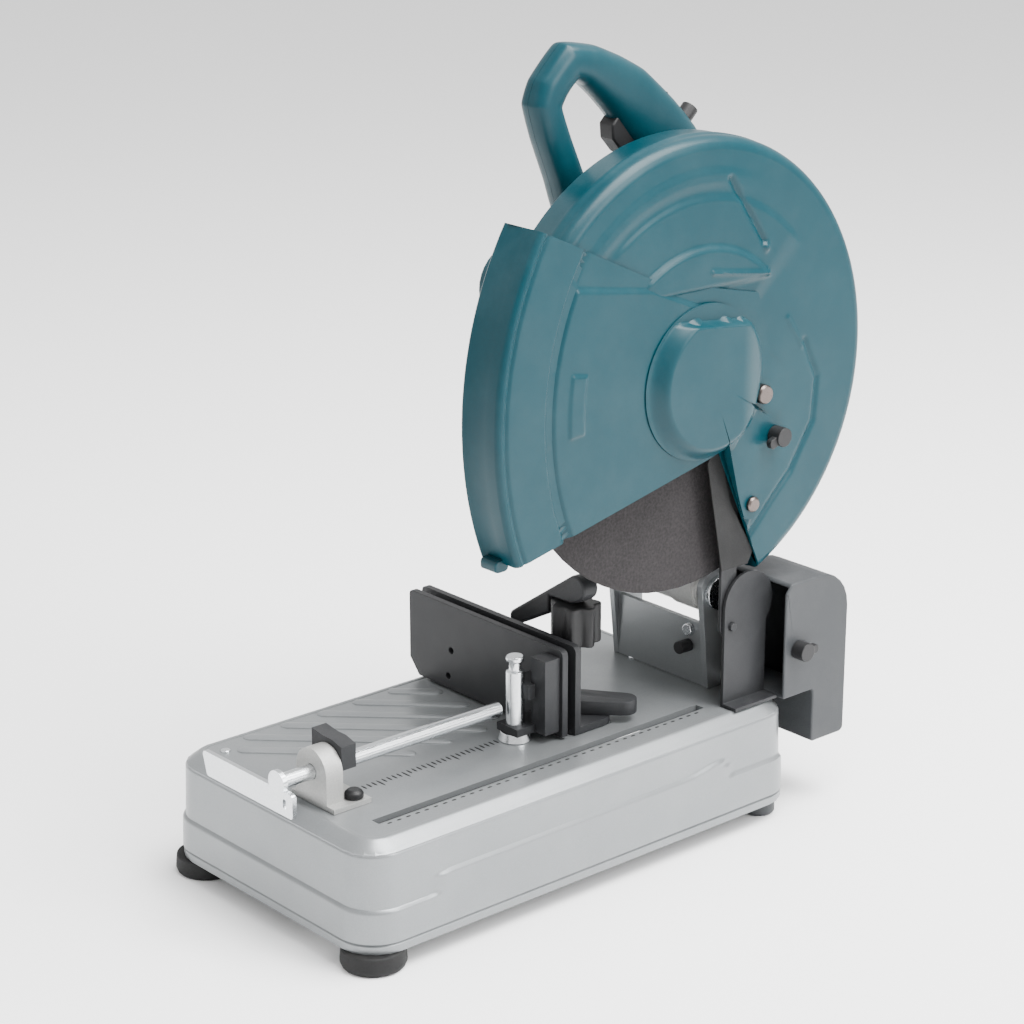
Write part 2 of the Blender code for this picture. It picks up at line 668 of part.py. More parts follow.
def make_spark_guard():
    spark = rounded([(SPARK_FRONT, TABLE_REST), (SPARK_FRONT, SPARK_TOP - 8 * MM),
                     (SPARK_FRONT + 6 * MM, SPARK_TOP), (SPARK_REAR, SPARK_TOP),
                     (SPARK_REAR, SPARK_FOOT), (SPARK_REAR - 40 * MM, SPARK_FOOT),
                     (SPARK_REAR - 40 * MM, TABLE_REST)],
                    [0, 4 * MM, 4 * MM, 38 * MM, 5 * MM, 3 * MM, 3 * MM], 6)
    shell = sheet([spark], "X", SPARK_LEFT, SPARK_RIGHT)
    wall = SPARK_WALL
    hollow = rounded([(SPARK_FRONT - 20 * MM, TABLE_REST + wall), (SPARK_FRONT - 20 * MM, SPARK_TOP - wall),
                      (SPARK_REAR - wall, SPARK_TOP - wall), (SPARK_REAR - wall, SPARK_FOOT + wall),
                      (SPARK_REAR - 40 * MM + wall, SPARK_FOOT + wall),
                      (SPARK_REAR - 40 * MM + wall, TABLE_REST + wall)],
                     [0, 0, 35 * MM, 3 * MM, 2 * MM, 2 * MM], 6)
    cut(shell, sheet([hollow], "X", SPARK_LEFT + wall, SPARK_RIGHT - wall),
        rod("X", (SPARK_RIGHT - 10 * MM, SPARK_BOLT_Y, SPARK_BOLT_Z), 20 * MM, BOLT_RADIUS + RUN_GAP, 16))
    keep(shell, "spark_guard", "grey_plastic")
    axis = make_axis("spark_bolt_axis", (SPARK_RIGHT, SPARK_BOLT_Y, SPARK_BOLT_Z))
    wing_bolt("spark_guard_wing_bolt", (SPARK_RIGHT + GAP, SPARK_BOLT_Y, SPARK_BOLT_Z), 8 * MM, 0, axis)


def wing_bolt(name, seat, shank, angle, axis):
    """A thumb bolt along X: shank, round head and one flat wing, seated at a point."""
    x, y, z = seat
    body = bolt("X", (x - shank, y, z), shank, BOLT_RADIUS, 8 * MM, 12 * MM, 16)
    reach = 15 * MM
    wing = sheet([rounded([(0, -4 * MM), (reach, -4 * MM), (reach, 4 * MM), (0, 4 * MM)],
                          [0, 3 * MM, 3 * MM, 0], 3)], "X", x + 5 * MM, x + 10 * MM)
    wing.data.transform(Matrix.Translation((0, y, z)) @ Matrix.Rotation(angle, 4, "X"))
    join(body, wing)
    return keep(body, name, "black_plastic", axis)


# ---------------------------------------------------------------- vise
def make_vise_bracket():
    outline = ([(SCREW_X + BRACKET_HALF + 4 * MM, TABLE_REST)]
               + arc((SCREW_X, SCREW_Z), BRACKET_HALF + 4 * MM, 0, math.pi, 16)
               + [(SCREW_X - BRACKET_HALF - 4 * MM, TABLE_REST)])
    upright = sheet([outline, circle((SCREW_X, SCREW_Z), SCREW_RADIUS + RUN_GAP)],
                    "Y", BRACKET_Y, BRACKET_Y + BRACKET_DEPTH)
    foot = box((CLASP_X - 8 * MM, BRACKET_Y, TABLE_REST),
               (SCREW_X + 28 * MM, BRACKET_Y + BRACKET_DEPTH + 20 * MM, TABLE_REST + 4 * MM))
    join(upright, foot)
    cut(upright, rod("Z", (FOOT_BOLT_X, FOOT_BOLT_Y, TABLE_REST - 5 * MM), 20 * MM, BOLT_RADIUS + RUN_GAP,
                     16),
        rod("Y", (CLASP_X, BRACKET_Y + 4 * MM, CLASP_Z), BRACKET_DEPTH, 3 * MM + RUN_GAP, 16))
    keep(upright, "vise_bracket", "cast_alloy")
    head = turned([(0, 11 * MM), (5 * MM, 11 * MM), (7.5 * MM, 8.5 * MM), (7.5 * MM, 4 * MM + GAP),
                   (BOLT_RADIUS, 4 * MM + GAP), (BOLT_RADIUS, 0), (0, 0)],
                  "Z", (FOOT_BOLT_X, FOOT_BOLT_Y, TABLE_REST), 20)
    keep(head, "bracket_bolt", "black_plastic")


def make_clasp():
    """The quick-release hook: flipped to the left it frees the screw to slide."""
    axis = make_axis("clasp_axis", (CLASP_X, BRACKET_Y + BRACKET_DEPTH, CLASP_Z))
    over = SCREW_Z + SCREW_RADIUS + GAP
    left, right = CLASP_X - 2 * MM, SCREW_X + 17 * MM
    outline = [(left, CLASP_Z - 6 * MM), (SCREW_X - SCREW_RADIUS - 2 * MM, CLASP_Z - 6 * MM),
               (SCREW_X - SCREW_RADIUS - 2 * MM, over), (SCREW_X + 9.5 * MM, over),
               (SCREW_X + 9.5 * MM, SCREW_Z + 1 * MM), (right, SCREW_Z + 1 * MM),
               (right, over + 14 * MM), (SCREW_X + 5 * MM, over + 17 * MM),
               (left + 14 * MM, over + 17 * MM), (left, over + 19 * MM)]
    low = BRACKET_Y + BRACKET_DEPTH + GAP
    hook = sheet([outline], "Y", low, low + 14 * MM)
    pin = rod("Y", (CLASP_X, BRACKET_Y + 6 * MM, CLASP_Z), BRACKET_DEPTH, 3 * MM, 16)
    join(hook, pin)
    keep(hook, "vise_clasp", "dark_sheet", axis)


def make_vise():
    slide = make_axis("vise_slide_axis", (SCREW_X, SCREW_REAR_Y, SCREW_Z))
    spin = make_axis("vise_screw_axis", (SCREW_X, CRANK_Y, SCREW_Z), slide)
    screw = rod("Y", (SCREW_X, CRANK_Y + CRANK_THICKNESS + GAP, SCREW_Z),
                SCREW_REAR_Y - CRANK_Y - CRANK_THICKNESS - GAP, SCREW_RADIUS, 24)
    keep(screw, "vise_screw", "zinc", spin)
    top = SCREW_Z - 4 * MM
    bar = sheet([rounded([(SCREW_X + 20 * MM, top), (SCREW_X - CRANK_LENGTH, top),
                          (SCREW_X - CRANK_LENGTH + 6 * MM, top - CRANK_HEIGHT),
                          (SCREW_X + 20 * MM, top - CRANK_HEIGHT)], 3 * MM, 3),
                 rounded([(SCREW_X + 12 * MM, top - 6 * MM), (SCREW_X + 8 * MM, top - 6 * MM),
                          (SCREW_X + 8 * MM, top - 14 * MM), (SCREW_X + 12 * MM, top - 14 * MM)], 1.8 * MM,
                          3)],
                "Y", CRANK_Y, CRANK_Y + CRANK_THICKNESS)
    join(bar, rod("Y", (SCREW_X, CRANK_Y, SCREW_Z), CRANK_THICKNESS, 10 * MM, 24))
    keep(bar, "vise_crank", "zinc", spin)

    disc_top = TABLE_REST + 7 * MM
    post = turned([(0, POST_TOP), (POST_RADIUS - 1 * MM, POST_TOP), (POST_RADIUS, POST_TOP - 1 * MM),
                   (POST_RADIUS, POST_TOP - 4 * MM), (POST_RADIUS - 2.5 * MM, POST_TOP - 5 * MM),
                   (POST_RADIUS - 2.5 * MM, POST_TOP - 12 * MM), (POST_RADIUS, POST_TOP - 13 * MM),
                   (POST_RADIUS, disc_top), (12 * MM, disc_top), (14 * MM, TABLE_REST), (0, TABLE_REST)],
                  "Z", (POST_X, POST_Y, 0), 24)
    keep(post, "vise_post", "zinc", slide)

    swivel = make_axis("vise_swivel_axis", (POST_X, POST_Y, TABLE_TOP), slide)
    inner = POST_RADIUS + RUN_GAP
    collar_low, collar_high = disc_top + GAP, SCREW_Z - 11 * MM
    head = box((POST_X + 9 * MM, 4 * MM, collar_low),
               (PLATE_RIGHT - 3 * MM, VISE_PLATE_Y - GAP, PLATE_TOP - 6 * MM))
    join(head, box((POST_X - 11 * MM, POST_Y - 10 * MM, collar_low),
                   (POST_X + 14 * MM, VISE_PLATE_Y - GAP, collar_high - 2 * MM)),
         box((POST_X - 11 * MM, POST_Y + 2 * MM, SCREW_Z + 10 * MM),
             (POST_X + 14 * MM, VISE_PLATE_Y - GAP, SCREW_Z + 22 * MM)))
    cut(head, rod("Z", (POST_X, POST_Y, TABLE_REST), 100 * MM, inner, 24))
    keep(head, "vise_head", "dark_sheet", swivel)
    plate = jaw_plate(VISE_PLATE_Y, TABLE_TOP + RIB_CLEARANCE, [(-72 * MM, 141 * MM), (-76 * MM, 117 * MM)])
    keep(plate, "vise_plate", "dark_sheet", swivel)


def jaw_plate(front, bottom, holes):
    """A jaw: upright plate with a rounded top corner and a chamfered lower corner on the left."""
    outline = rounded([(PLATE_RIGHT, bottom), (PLATE_RIGHT, PLATE_TOP), (PLATE_LEFT, PLATE_TOP),
                       (PLATE_LEFT, bottom + 14 * MM), (PLATE_LEFT + 12 * MM, bottom)],
                      [1 * MM, 5 * MM, 4 * MM, 3 * MM, 2 * MM], 3)
    return sheet([outline] + [circle(hole, 3 * MM, 12) for hole in holes], "Y", front,
                 front + PLATE_THICKNESS)


def make_guide():
    axis = make_axis("guide_axis", (FENCE_PIVOT_X, FENCE_PIVOT_Y, TABLE_TOP))
    bottom = TABLE_REST + 0.4 * MM
    plate = jaw_plate(GUIDE_PLATE_Y, bottom, [(-72 * MM, 141 * MM), (-40 * MM, 141 * MM)])
    back = GUIDE_PLATE_Y + PLATE_THICKNESS
    foot = sheet([rounded([(PLATE_RIGHT, back - 3 * MM), (PLATE_RIGHT, ROD_Y + 16 * MM),
                           (ROD_X - 50 * MM, ROD_Y + 16 * MM), (ROD_X - 60 * MM, back - 3 * MM)],
                          [0, 12 * MM, 8 * MM, 0], 4)], "Z", bottom, bottom + PLATE_THICKNESS)
    join(plate, foot, rod("Z", (FENCE_PIVOT_X, FENCE_PIVOT_Y, TABLE_TOP - TABLE_THICKNESS - 2 * MM),
                          TABLE_THICKNESS + 6 * MM, BOLT_RADIUS, 16))
    cut(plate, rod("Z", (ROD_X, ROD_Y, TABLE_TOP - 2 * MM), 20 * MM, ROD_RADIUS + RUN_GAP, 16))
    keep(plate, "guide_plate", "dark_sheet", axis)

    under = TABLE_TOP - TABLE_THICKNESS - GAP
    top = KNOB_BOTTOM + KNOB_HEIGHT - 5 * MM
    stud = turned([(0, top), (ROD_RADIUS, top), (ROD_RADIUS, under), (11 * MM, under),
                   (11 * MM, under - 6 * MM), (0, under - 6 * MM)], "Z", (ROD_X, ROD_Y, 0), 16)
    keep(stud, "clamp_stud", "zinc", axis)

    foot_top = bottom + PLATE_THICKNESS
    lever_axis = make_axis("table_lever_axis", (ROD_X, ROD_Y, foot_top), axis)
    lever = sheet([hull([(ROD_X, ROD_Y, 14 * MM), (ROD_X + 31 * MM, ROD_Y + 26 * MM, 11 * MM)]),
                   circle((ROD_X, ROD_Y), ROD_RADIUS + RUN_GAP, 16)],
                  "Z", foot_top + GAP, foot_top + 12 * MM)
    soften(lever, 2.5 * MM, 2)
    keep(lever, "table_lever", "dark_sheet", lever_axis)

    knob_axis = make_axis("star_knob_axis", (ROD_X, ROD_Y, KNOB_BOTTOM), axis)
    lobes = 7
    around = [(ROD_X + (KNOB_RADIUS + 2.5 * MM * math.cos(lobes * a)) * math.cos(a),
               ROD_Y + (KNOB_RADIUS + 2.5 * MM * math.cos(lobes * a)) * math.sin(a))
              for a in (math.tau * i / 42 for i in range(42))]
    knob = sheet([around], "Z", KNOB_BOTTOM, KNOB_BOTTOM + KNOB_HEIGHT)
    cut(knob, rod("Z", (ROD_X, ROD_Y, KNOB_BOTTOM - 5 * MM), KNOB_HEIGHT + 1 * MM, ROD_RADIUS + RUN_GAP, 16))
    keep(knob, "star_knob", "black_plastic", knob_axis)

    knob_top = KNOB_BOTTOM + KNOB_HEIGHT
    handle_axis = make_axis("clamp_lever_axis", (ROD_X, ROD_Y, knob_top), axis)
    low_end, high_end = (ROD_X - 66 * MM, 174 * MM), (ROD_X + 8 * MM, knob_top + 15 * MM)
    bar = sheet([hull([(*low_end, 6.5 * MM), (*high_end, 11 * MM)])], "Y", ROD_Y - 8 * MM, ROD_Y + 8 * MM)
    clearance = rod("Z", (ROD_X, ROD_Y, KNOB_BOTTOM - 20 * MM), KNOB_HEIGHT + 20 * MM + GAP,
                    KNOB_RADIUS + 6 * MM, 32)
    cut(bar, clearance)
    keep(bar, "clamp_lever", "dark_sheet", handle_axis)


# ---------------------------------------------------------------- head: arm, gears and motor
def make_arm(head):
    spindle, motor = (SPINDLE_Y, SPINDLE_Z), (MOTOR_Y, MOTOR_Z)
    bow = (ARM_BOW_Y, ARM_BOW_Z, HUB_RADIUS)
    case = sheet([hull([(*spindle, GEAR_CASE_RADIUS), (*motor, GEAR_CASE_RADIUS)], 16)], "X", HEAD_LEFT,
                 HEAD_RIGHT)
    upper = sheet([hull([(*spindle, GEAR_CASE_RADIUS - 2 * MM), bow])], "X", HEAD_LEFT + 4 * MM,
                  HEAD_RIGHT - 2 * MM)
    narrow_bow = (ARM_BOW_Y, ARM_BOW_Z, HUB_RADIUS - 1 * MM)
    lower = sheet([hull([narrow_bow, (PIVOT_Y, PIVOT_Z, HUB_RADIUS)])], "X", HEAD_LEFT + 8 * MM,
                  HEAD_RIGHT - 4 * MM)
    hub = rod("X", (HUB_LEFT, PIVOT_Y, PIVOT_Z), HEAD_RIGHT - 0.5 * MM - HUB_LEFT, HUB_RADIUS - 1.5 * MM, 24)
    boss = rod("X", (HEAD_RIGHT - 7 * MM, *spindle), CASE_BACK_X - GAP - HEAD_RIGHT + 7 * MM, 48 * MM, 32)
    case = baked(join(case, upper, lower, hub, boss))
    room = hull([(*spindle, GEAR_RADIUS + 4 * MM), (*motor, PINION_RADIUS + 6 * MM)], 14)
    cut(case, sheet([room], "X", HEAD_LEFT - 5 * MM, HEAD_LEFT + GEAR_WIDTH + 6 * MM),
        rod("X", (HUB_LEFT - 5 * MM, PIVOT_Y, PIVOT_Z), HEAD_RIGHT - HUB_LEFT + 10 * MM,
            PIVOT_RADIUS + RUN_GAP),
        rod("X", (HEAD_LEFT, *spindle), BEARING_RIGHT - HEAD_LEFT, BEARING_RADIUS + RUN_GAP, 28),
        rod("X", (HEAD_LEFT, *spindle), 100 * MM, SPINDLE_RADIUS + 2 * MM),
        rod("Y", (LOCK_X, SPINDLE_Y - 60 * MM, SPINDLE_Z), 60 * MM, LOCK_RADIUS + RUN_GAP, 16))
    keep(case, "gear_housing", "cast_alloy", head)

    cover = sheet([hull([(*spindle, GEAR_CASE_RADIUS - 1 * MM), (*motor, GEAR_CASE_RADIUS - 1 * MM)], 14),
                   circle(spindle, COVER_BEARING_RADIUS + RUN_GAP), circle(motor, PINION_RADIUS + 3 * MM)],
                  "X", GEAR_COVER_LEFT, HEAD_LEFT - GAP)
    keep(cover, "gear_cover", "cast_alloy", head)


def ring(inner, outer, low, high, along, centre, sides=28):
    return turned([(inner, high), (outer, high), (outer, low), (inner, low)], along, centre, sides)


def gear_outline(centre, teeth, phase):
    """Tapered teeth on a pitch circle; phase turns the first tooth."""
    pitch = teeth * GEAR_MODULE / 2
    step = math.tau / teeth
    points = []
    for tooth in range(teeth):
        middle = phase + tooth * step
        for radius, share in ((pitch - 1.15 * GEAR_MODULE, -0.27), (pitch + 0.85 * GEAR_MODULE, -0.11),
                              (pitch + 0.85 * GEAR_MODULE, 0.11), (pitch - 1.15 * GEAR_MODULE, 0.27)):
            angle = middle + share * step
            points.append((centre[0] + radius * math.cos(angle), centre[1] + radius * math.sin(angle)))
    return points


def make_spindle(head):
    spin = make_axis("spindle_axis", (WHEEL_X, SPINDLE_Y, SPINDLE_Z), head)
    centre = (0, SPINDLE_Y, SPINDLE_Z)
    end = WHEEL_RIGHT - 0.5 * MM
    hole = end - 16 * MM
    collar = BEARING_RIGHT - BEARING_WIDTH
    shaft = turned([(0, hole), (5 * MM + RUN_GAP, hole), (5 * MM + RUN_GAP, end), (SPINDLE_RADIUS, end),
                    (SPINDLE_RADIUS, SPINDLE_LEFT), (0, SPINDLE_LEFT)], "X", centre, 24)
    keep(shaft, "spindle", "steel", spin)

    gear_low = HEAD_LEFT + 3 * MM
    gear = sheet([gear_outline((SPINDLE_Y, SPINDLE_Z), GEAR_TEETH, MOTOR_ANGLE),
                  circle((SPINDLE_Y, SPINDLE_Z), SPINDLE_RADIUS + GAP)], "X", gear_low, gear_low + GEAR_WIDTH)
    keep(gear, "spindle_gear", "steel", spin)

    back = WHEEL_LEFT - GAP
    boss = ARBOR_RADIUS - RUN_GAP
    inner = turned([(SPINDLE_RADIUS + GAP, WHEEL_RIGHT - 1 * MM), (boss, WHEEL_RIGHT - 1 * MM), (boss, back),
                    (FLANGE_RADIUS, back), (FLANGE_RADIUS, back - FLANGE_THICKNESS),
                    (SPINDLE_RADIUS + GAP, back - FLANGE_THICKNESS)], "X", centre, 32)
    keep(inner, "inner_flange", "steel", spin)
    front = WHEEL_RIGHT + GAP
    outer = turned([(5 * MM + GAP, front + FLANGE_THICKNESS - 1 * MM),
                    (FLANGE_RADIUS - 3 * MM, front + FLANGE_THICKNESS - 1 * MM),
                    (FLANGE_RADIUS, front + 1 * MM), (FLANGE_RADIUS, front), (5 * MM + GAP, front)],
                   "X", centre, 32)
    keep(outer, "outer_flange", "steel", spin)

    wheel = ring(ARBOR_RADIUS, WHEEL_RADIUS, WHEEL_LEFT, WHEEL_RIGHT, "X", centre, 64)
    keep(wheel, "abrasive_wheel", "abrasive", spin)

    seat = front + FLANGE_THICKNESS - 1 * MM + GAP
    head_length = 5 * MM
    hexagon = rod("X", (seat, SPINDLE_Y, SPINDLE_Z), head_length, 9 * MM, 6)
    join(hexagon, rod("X", (hole + 2 * MM, SPINDLE_Y, SPINDLE_Z), seat - hole, 5 * MM, 24))
    keep(hexagon, "spindle_bolt", "steel", spin)

    bearing = ring(SPINDLE_RADIUS + RUN_GAP, BEARING_RADIUS, collar, BEARING_RIGHT - GAP, "X", centre)
    keep(bearing, "spindle_bearing", "steel", head)
    needle = ring(SPINDLE_RADIUS + RUN_GAP, COVER_BEARING_RADIUS, GEAR_COVER_LEFT + 1 * MM,
                  HEAD_LEFT - 1 * MM,
                  "X", centre)
    keep(needle, "needle_bearing", "steel", head)


def make_motor(head):
    centre = (0, MOTOR_Y, MOTOR_Z)
    right = GEAR_COVER_LEFT - GAP
    left = right - MOTOR_LENGTH
    inner = MOTOR_RADIUS - MOTOR_WALL
    step_in = END_COVER_RADIUS + 4 * MM
    shell = turned([(inner, right), (MOTOR_RADIUS, right), (MOTOR_RADIUS, left + 34 * MM),
                    (step_in, left + 18 * MM),
                    (step_in, left), (step_in - MOTOR_WALL, left), (step_in - MOTOR_WALL, left + 18 * MM),
                    (inner, left + 34 * MM)], "X", centre, 36)
    for side in (-1, 1):
        cut(shell, rod("Y", (left + 8 * MM, MOTOR_Y + side * 30 * MM - 15 * MM, MOTOR_Z), 30 * MM,
                       BRUSH_RADIUS + RUN_GAP, 16))
    keep(shell, "motor_housing", "teal_paint", head)

    cap_end = left - END_COVER_LENGTH
    face = left - GAP
    end_cover = turned([(END_BEARING_RADIUS + RUN_GAP, face), (END_COVER_RADIUS + 3 * MM, face),
                        (END_COVER_RADIUS + 1 * MM, cap_end + 8 * MM), (END_COVER_RADIUS - 8 * MM, cap_end),
                        (0, cap_end), (0, cap_end + 5 * MM),
                        (END_BEARING_RADIUS + RUN_GAP, cap_end + 5 * MM)],
                       "X", centre, 32)
    keep(end_cover, "motor_end_cover", "teal_paint", head)

    stator_left, stator_right = left + 36 * MM, right - 22 * MM
    stator = ring(ROTOR_RADIUS + 1 * MM, STATOR_RADIUS, stator_left, stator_right, "X", centre)
    keep(stator, "field_stator", "copper", head)

    spin = make_axis("armature_axis", (left, MOTOR_Y, MOTOR_Z), head)
    core_left, core_right = stator_left + 2 * MM, stator_right - 2 * MM
    shaft = ARMATURE_SHAFT_RADIUS
    commutator = 11 * MM
    rotor = turned([(0, HEAD_LEFT - 2 * MM), (shaft, HEAD_LEFT - 2 * MM), (shaft, right - 4 * MM),
                    (STATOR_RADIUS - 2 * MM, right - 6 * MM),
                    (STATOR_RADIUS - 2 * MM, right - 14 * MM), (shaft + 2 * MM, right - 16 * MM),
                    (shaft + 2 * MM, core_right),
                    (ROTOR_RADIUS, core_right), (ROTOR_RADIUS, core_left), (shaft + 2 * MM, core_left),
                    (shaft + 2 * MM, left + 20 * MM), (commutator, left + 20 * MM),
                    (commutator, left + 2 * MM),
                    (shaft, left + 2 * MM), (shaft, cap_end + 6 * MM), (0, cap_end + 6 * MM)], "X", centre,
                    24)
    keep(rotor, "armature", "copper", spin)
    pinion = sheet([gear_outline((MOTOR_Y, MOTOR_Z), PINION_TEETH,
                                 MOTOR_ANGLE + math.pi + math.pi / PINION_TEETH)],
                   "X", HEAD_LEFT - 2 * MM + GAP, HEAD_LEFT + 3 * MM + GEAR_WIDTH)
    keep(pinion, "armature_pinion", "steel", spin)
    bearing = ring(shaft + RUN_GAP, END_BEARING_RADIUS, cap_end + 7 * MM, cap_end + 14 * MM, "X", centre, 24)
    keep(bearing, "armature_bearing", "steel", head)

    for side, name in ((-1, "front"), (1, "rear")):
        body = bolt("Y", (0, commutator + GAP, 0), step_in + GAP - commutator - GAP,
                    BRUSH_RADIUS, BRUSH_RADIUS + 2.5 * MM, 4 * MM, 16)
        turn = Matrix.Rotation(math.pi if side < 0 else 0, 4, "X")
        body.data.transform(Matrix.Translation((left + 8 * MM, MOTOR_Y, MOTOR_Z)) @ turn)
        keep(body, "brush_cap_" + name, "black_plastic", head)


def make_shaft_lock(head):
    reach = SPINDLE_Y - GEAR_CASE_RADIUS
    axis = make_axis("shaft_lock_axis", (LOCK_X, reach, SPINDLE_Z), head)
    button = turned([(0, 26 * MM), (LOCK_RADIUS, 26 * MM), (LOCK_RADIUS, -3.5 * MM), (8 * MM, -3.5 * MM),
                     (8 * MM, -10 * MM), (6 * MM, -12 * MM), (0, -12 * MM)], "Y",
                     (LOCK_X, reach - 2 * MM, SPINDLE_Z), 16)
    keep(button, "shaft_lock_button", "black_plastic", axis)


# ---------------------------------------------------------------- wheel case, guard and cover
def make_case(head):
    centre = (0, SPINDLE_Y, SPINDLE_Z)
    face, back, outer, wall = CASE_FACE_X, CASE_BACK_X, CASE_RADIUS, CASE_WALL
    fillet = CASE_FILLET
    bend = [(outer - fillet + fillet * math.sin(a), face - fillet + fillet * math.cos(a))
            for a in (0, math.pi / 6, math.pi / 3, math.pi / 2)]
    inside = [(outer - fillet + (fillet - wall) * math.sin(a), face - fillet + (fillet - wall) * math.cos(a))
              for a in (math.pi / 2, math.pi / 4, 0)]
    profile = [(0, face)] + bend + [(outer, back), (46 * MM, back), (46 * MM, back + wall),
                                    (outer - wall, back + wall)] + inside + [(0, face - wall)]
    shell = turned(profile, "X", centre, 56)
    far = 260 * MM
    front = (SPINDLE_Y + (outer + 40 * MM) * math.cos(CASE_FRONT_ANGLE),
             SPINDLE_Z + (outer + 40 * MM) * math.sin(CASE_FRONT_ANGLE))
    low = (WEDGE_APEX[0] + 2.6 * (WEDGE_LOW[0] - WEDGE_APEX[0]),
           WEDGE_APEX[1] + 2.6 * (WEDGE_LOW[1] - WEDGE_APEX[1]))
    wedge = sheet([[WEDGE_APEX, (SPINDLE_Y - 60 * MM, SPINDLE_Z - 30 * MM),
                    (SPINDLE_Y - 100 * MM, SPINDLE_Z + 46 * MM),
                    front, (SPINDLE_Y - far, SPINDLE_Z), (SPINDLE_Y - far, SPINDLE_Z - far),
                    (low[0], SPINDLE_Z - far), low]],
                  "X", back + wall + 3 * MM, face + 20 * MM)
    back_low = (SPINDLE_Y + 60 * MM, SPINDLE_Z - far)
    back_wedge = sheet([[(SPINDLE_Y + 36 * MM, SPINDLE_Z - 62 * MM),
                         (SPINDLE_Y - 60 * MM, SPINDLE_Z - 30 * MM),
                         (SPINDLE_Y - 80 * MM, SPINDLE_Z + 46 * MM), front, (SPINDLE_Y - far, SPINDLE_Z),
                         (SPINDLE_Y - far, SPINDLE_Z - far), back_low, low]],
                       "X", back - 20 * MM, back + wall + 3.1 * MM)
    pin_slot = sheet([arc_slot((GUARD_PIVOT_Y, GUARD_PIVOT_Z), math.hypot(*LINK_OFFSET),
                               LINK_PIN_RADIUS + 1.5 * MM,
                               math.atan2(LINK_OFFSET[1],
                                          LINK_OFFSET[0]) - math.radians(HEAD_SWING + 3) + math.tau,
                               math.atan2(LINK_OFFSET[1], LINK_OFFSET[0]) + math.radians(4) + math.tau)],
                     "X", face - 10 * MM, face + 10 * MM)
    access = rod("X", (face - 10 * MM, SPINDLE_Y, SPINDLE_Z), 20 * MM, SPINDLE_ACCESS, 40)
    cut(shell, wedge, back_wedge, pin_slot, access)
    for y, z in ((GUARD_PIVOT_Y, GUARD_PIVOT_Z), (COVER_HINGE_Y, COVER_HINGE_Z), (WING_BOLT_Y, WING_BOLT_Z)):
        cut(shell, rod("X", (face - 10 * MM, y, z), 20 * MM, BOLT_RADIUS + RUN_GAP, 16))
    keep(shell, "wheel_case", "teal_paint", head)


def make_guard(head):
    pivot = (GUARD_PIVOT_Y, GUARD_PIVOT_Z)
    arc_centre = (0, GUARD_ARC_Y, GUARD_ARC_Z)
    low, high, wall = GUARD_SHEET_X, GUARD_SHEET_FRONT, GUARD_WALL
    outer, step = GUARD_ARC_RADIUS, GUARD_STEP_RADIUS
    top = GUARD_FACE_X
    profile = [(0, high), (step, high), (step + 4 * MM, top), (outer - 4 * MM, top),
               (outer - 1 * MM, top - 1 * MM),
               (outer, top - 4 * MM), (outer, GUARD_BACK_X), (outer - GUARD_LIP, GUARD_BACK_X),
               (outer - GUARD_LIP, GUARD_BACK_X + wall), (outer - wall, GUARD_BACK_X + wall),
               (outer - wall, top - wall - 2 * MM), (step + 4 * MM, top - wall), (step, low), (0, low)]
    shell = turned(profile, "X", arc_centre, 72)
    beyond = arc((GUARD_ARC_Y, GUARD_ARC_Z), outer + 20 * MM, GUARD_TOP_ANGLE, GUARD_LOW_ANGLE, 10)
    outline = (beyond + [(WEDGE_APEX[0] - 4 * MM, WEDGE_APEX[1] - 2 * MM)]
               + arc(pivot, GUARD_HUB_RADIUS, math.radians(-95), math.radians(70), 12)
               + [(SPINDLE_Y + 62 * MM, SPINDLE_Z + 62 * MM), (SPINDLE_Y - 48 * MM, SPINDLE_Z + 87 * MM),
                  (SPINDLE_Y - 58 * MM, SPINDLE_Z + 92 * MM)])
    common(shell, sheet([outline], "X", GUARD_BACK_X - 20 * MM, top + 20 * MM))
    pin_at = (pivot[0] + LINK_OFFSET[0], pivot[1] + LINK_OFFSET[1])
    pin = rod("X", (LINK_X - 1 * MM, *pin_at), low - LINK_X + 2 * MM, LINK_PIN_RADIUS, 16)
    join(shell, pin)
    cut(shell, rod("X", (low - 10 * MM, *pivot), 20 * MM, BOLT_RADIUS + RUN_GAP + 2 * MM, 20),
        rod("X", (low - 5 * MM, SPINDLE_Y, SPINDLE_Z), 20 * MM, SPINDLE_ACCESS, 40))
    axis = make_axis("guard_axis", (low, *pivot), head)
    keep(shell, "retracting_guard", "teal_paint", axis)

    bolt_low = CASE_FACE_X - CASE_WALL - 8 * MM
    screw = turned([(0, COVER_FRONT + 5 * MM), (7 * MM, COVER_FRONT + 5 * MM),
                    (8 * MM, COVER_FRONT + 3 * MM), (8 * MM, high + SWEEP_GAP / 2),
                    (BOLT_RADIUS + 2 * MM, high + SWEEP_GAP / 2), (BOLT_RADIUS + 2 * MM, CASE_FACE_X + GAP),
                    (BOLT_RADIUS, CASE_FACE_X + GAP),
                    (BOLT_RADIUS, bolt_low), (0, bolt_low)], "X", (0, *pivot), 20)
    keep(screw, "guard_pivot_bolt", "steel", head)

    lower = (PIVOT_Y + LINK_OFFSET[0], PIVOT_Z + LINK_OFFSET[1])
    link_axis = make_axis("link_axis", (LINK_X, *lower))
    bar = sheet([hull([(*lower, LINK_HALF_WIDTH), (*pin_at, LINK_HALF_WIDTH)], 10),
                 circle(pin_at, LINK_PIN_RADIUS + RUN_GAP, 16)],
                "X", LINK_X, LINK_X + LINK_THICKNESS)
    join(bar, rod("X", (LINK_X + 1 * MM, *lower), SIDE_PLATE_X + LINK_THICKNESS + 2 * MM - LINK_X,
                  LINK_PIN_RADIUS, 16))
    keep(bar, "guard_link", "dark_sheet", link_axis)


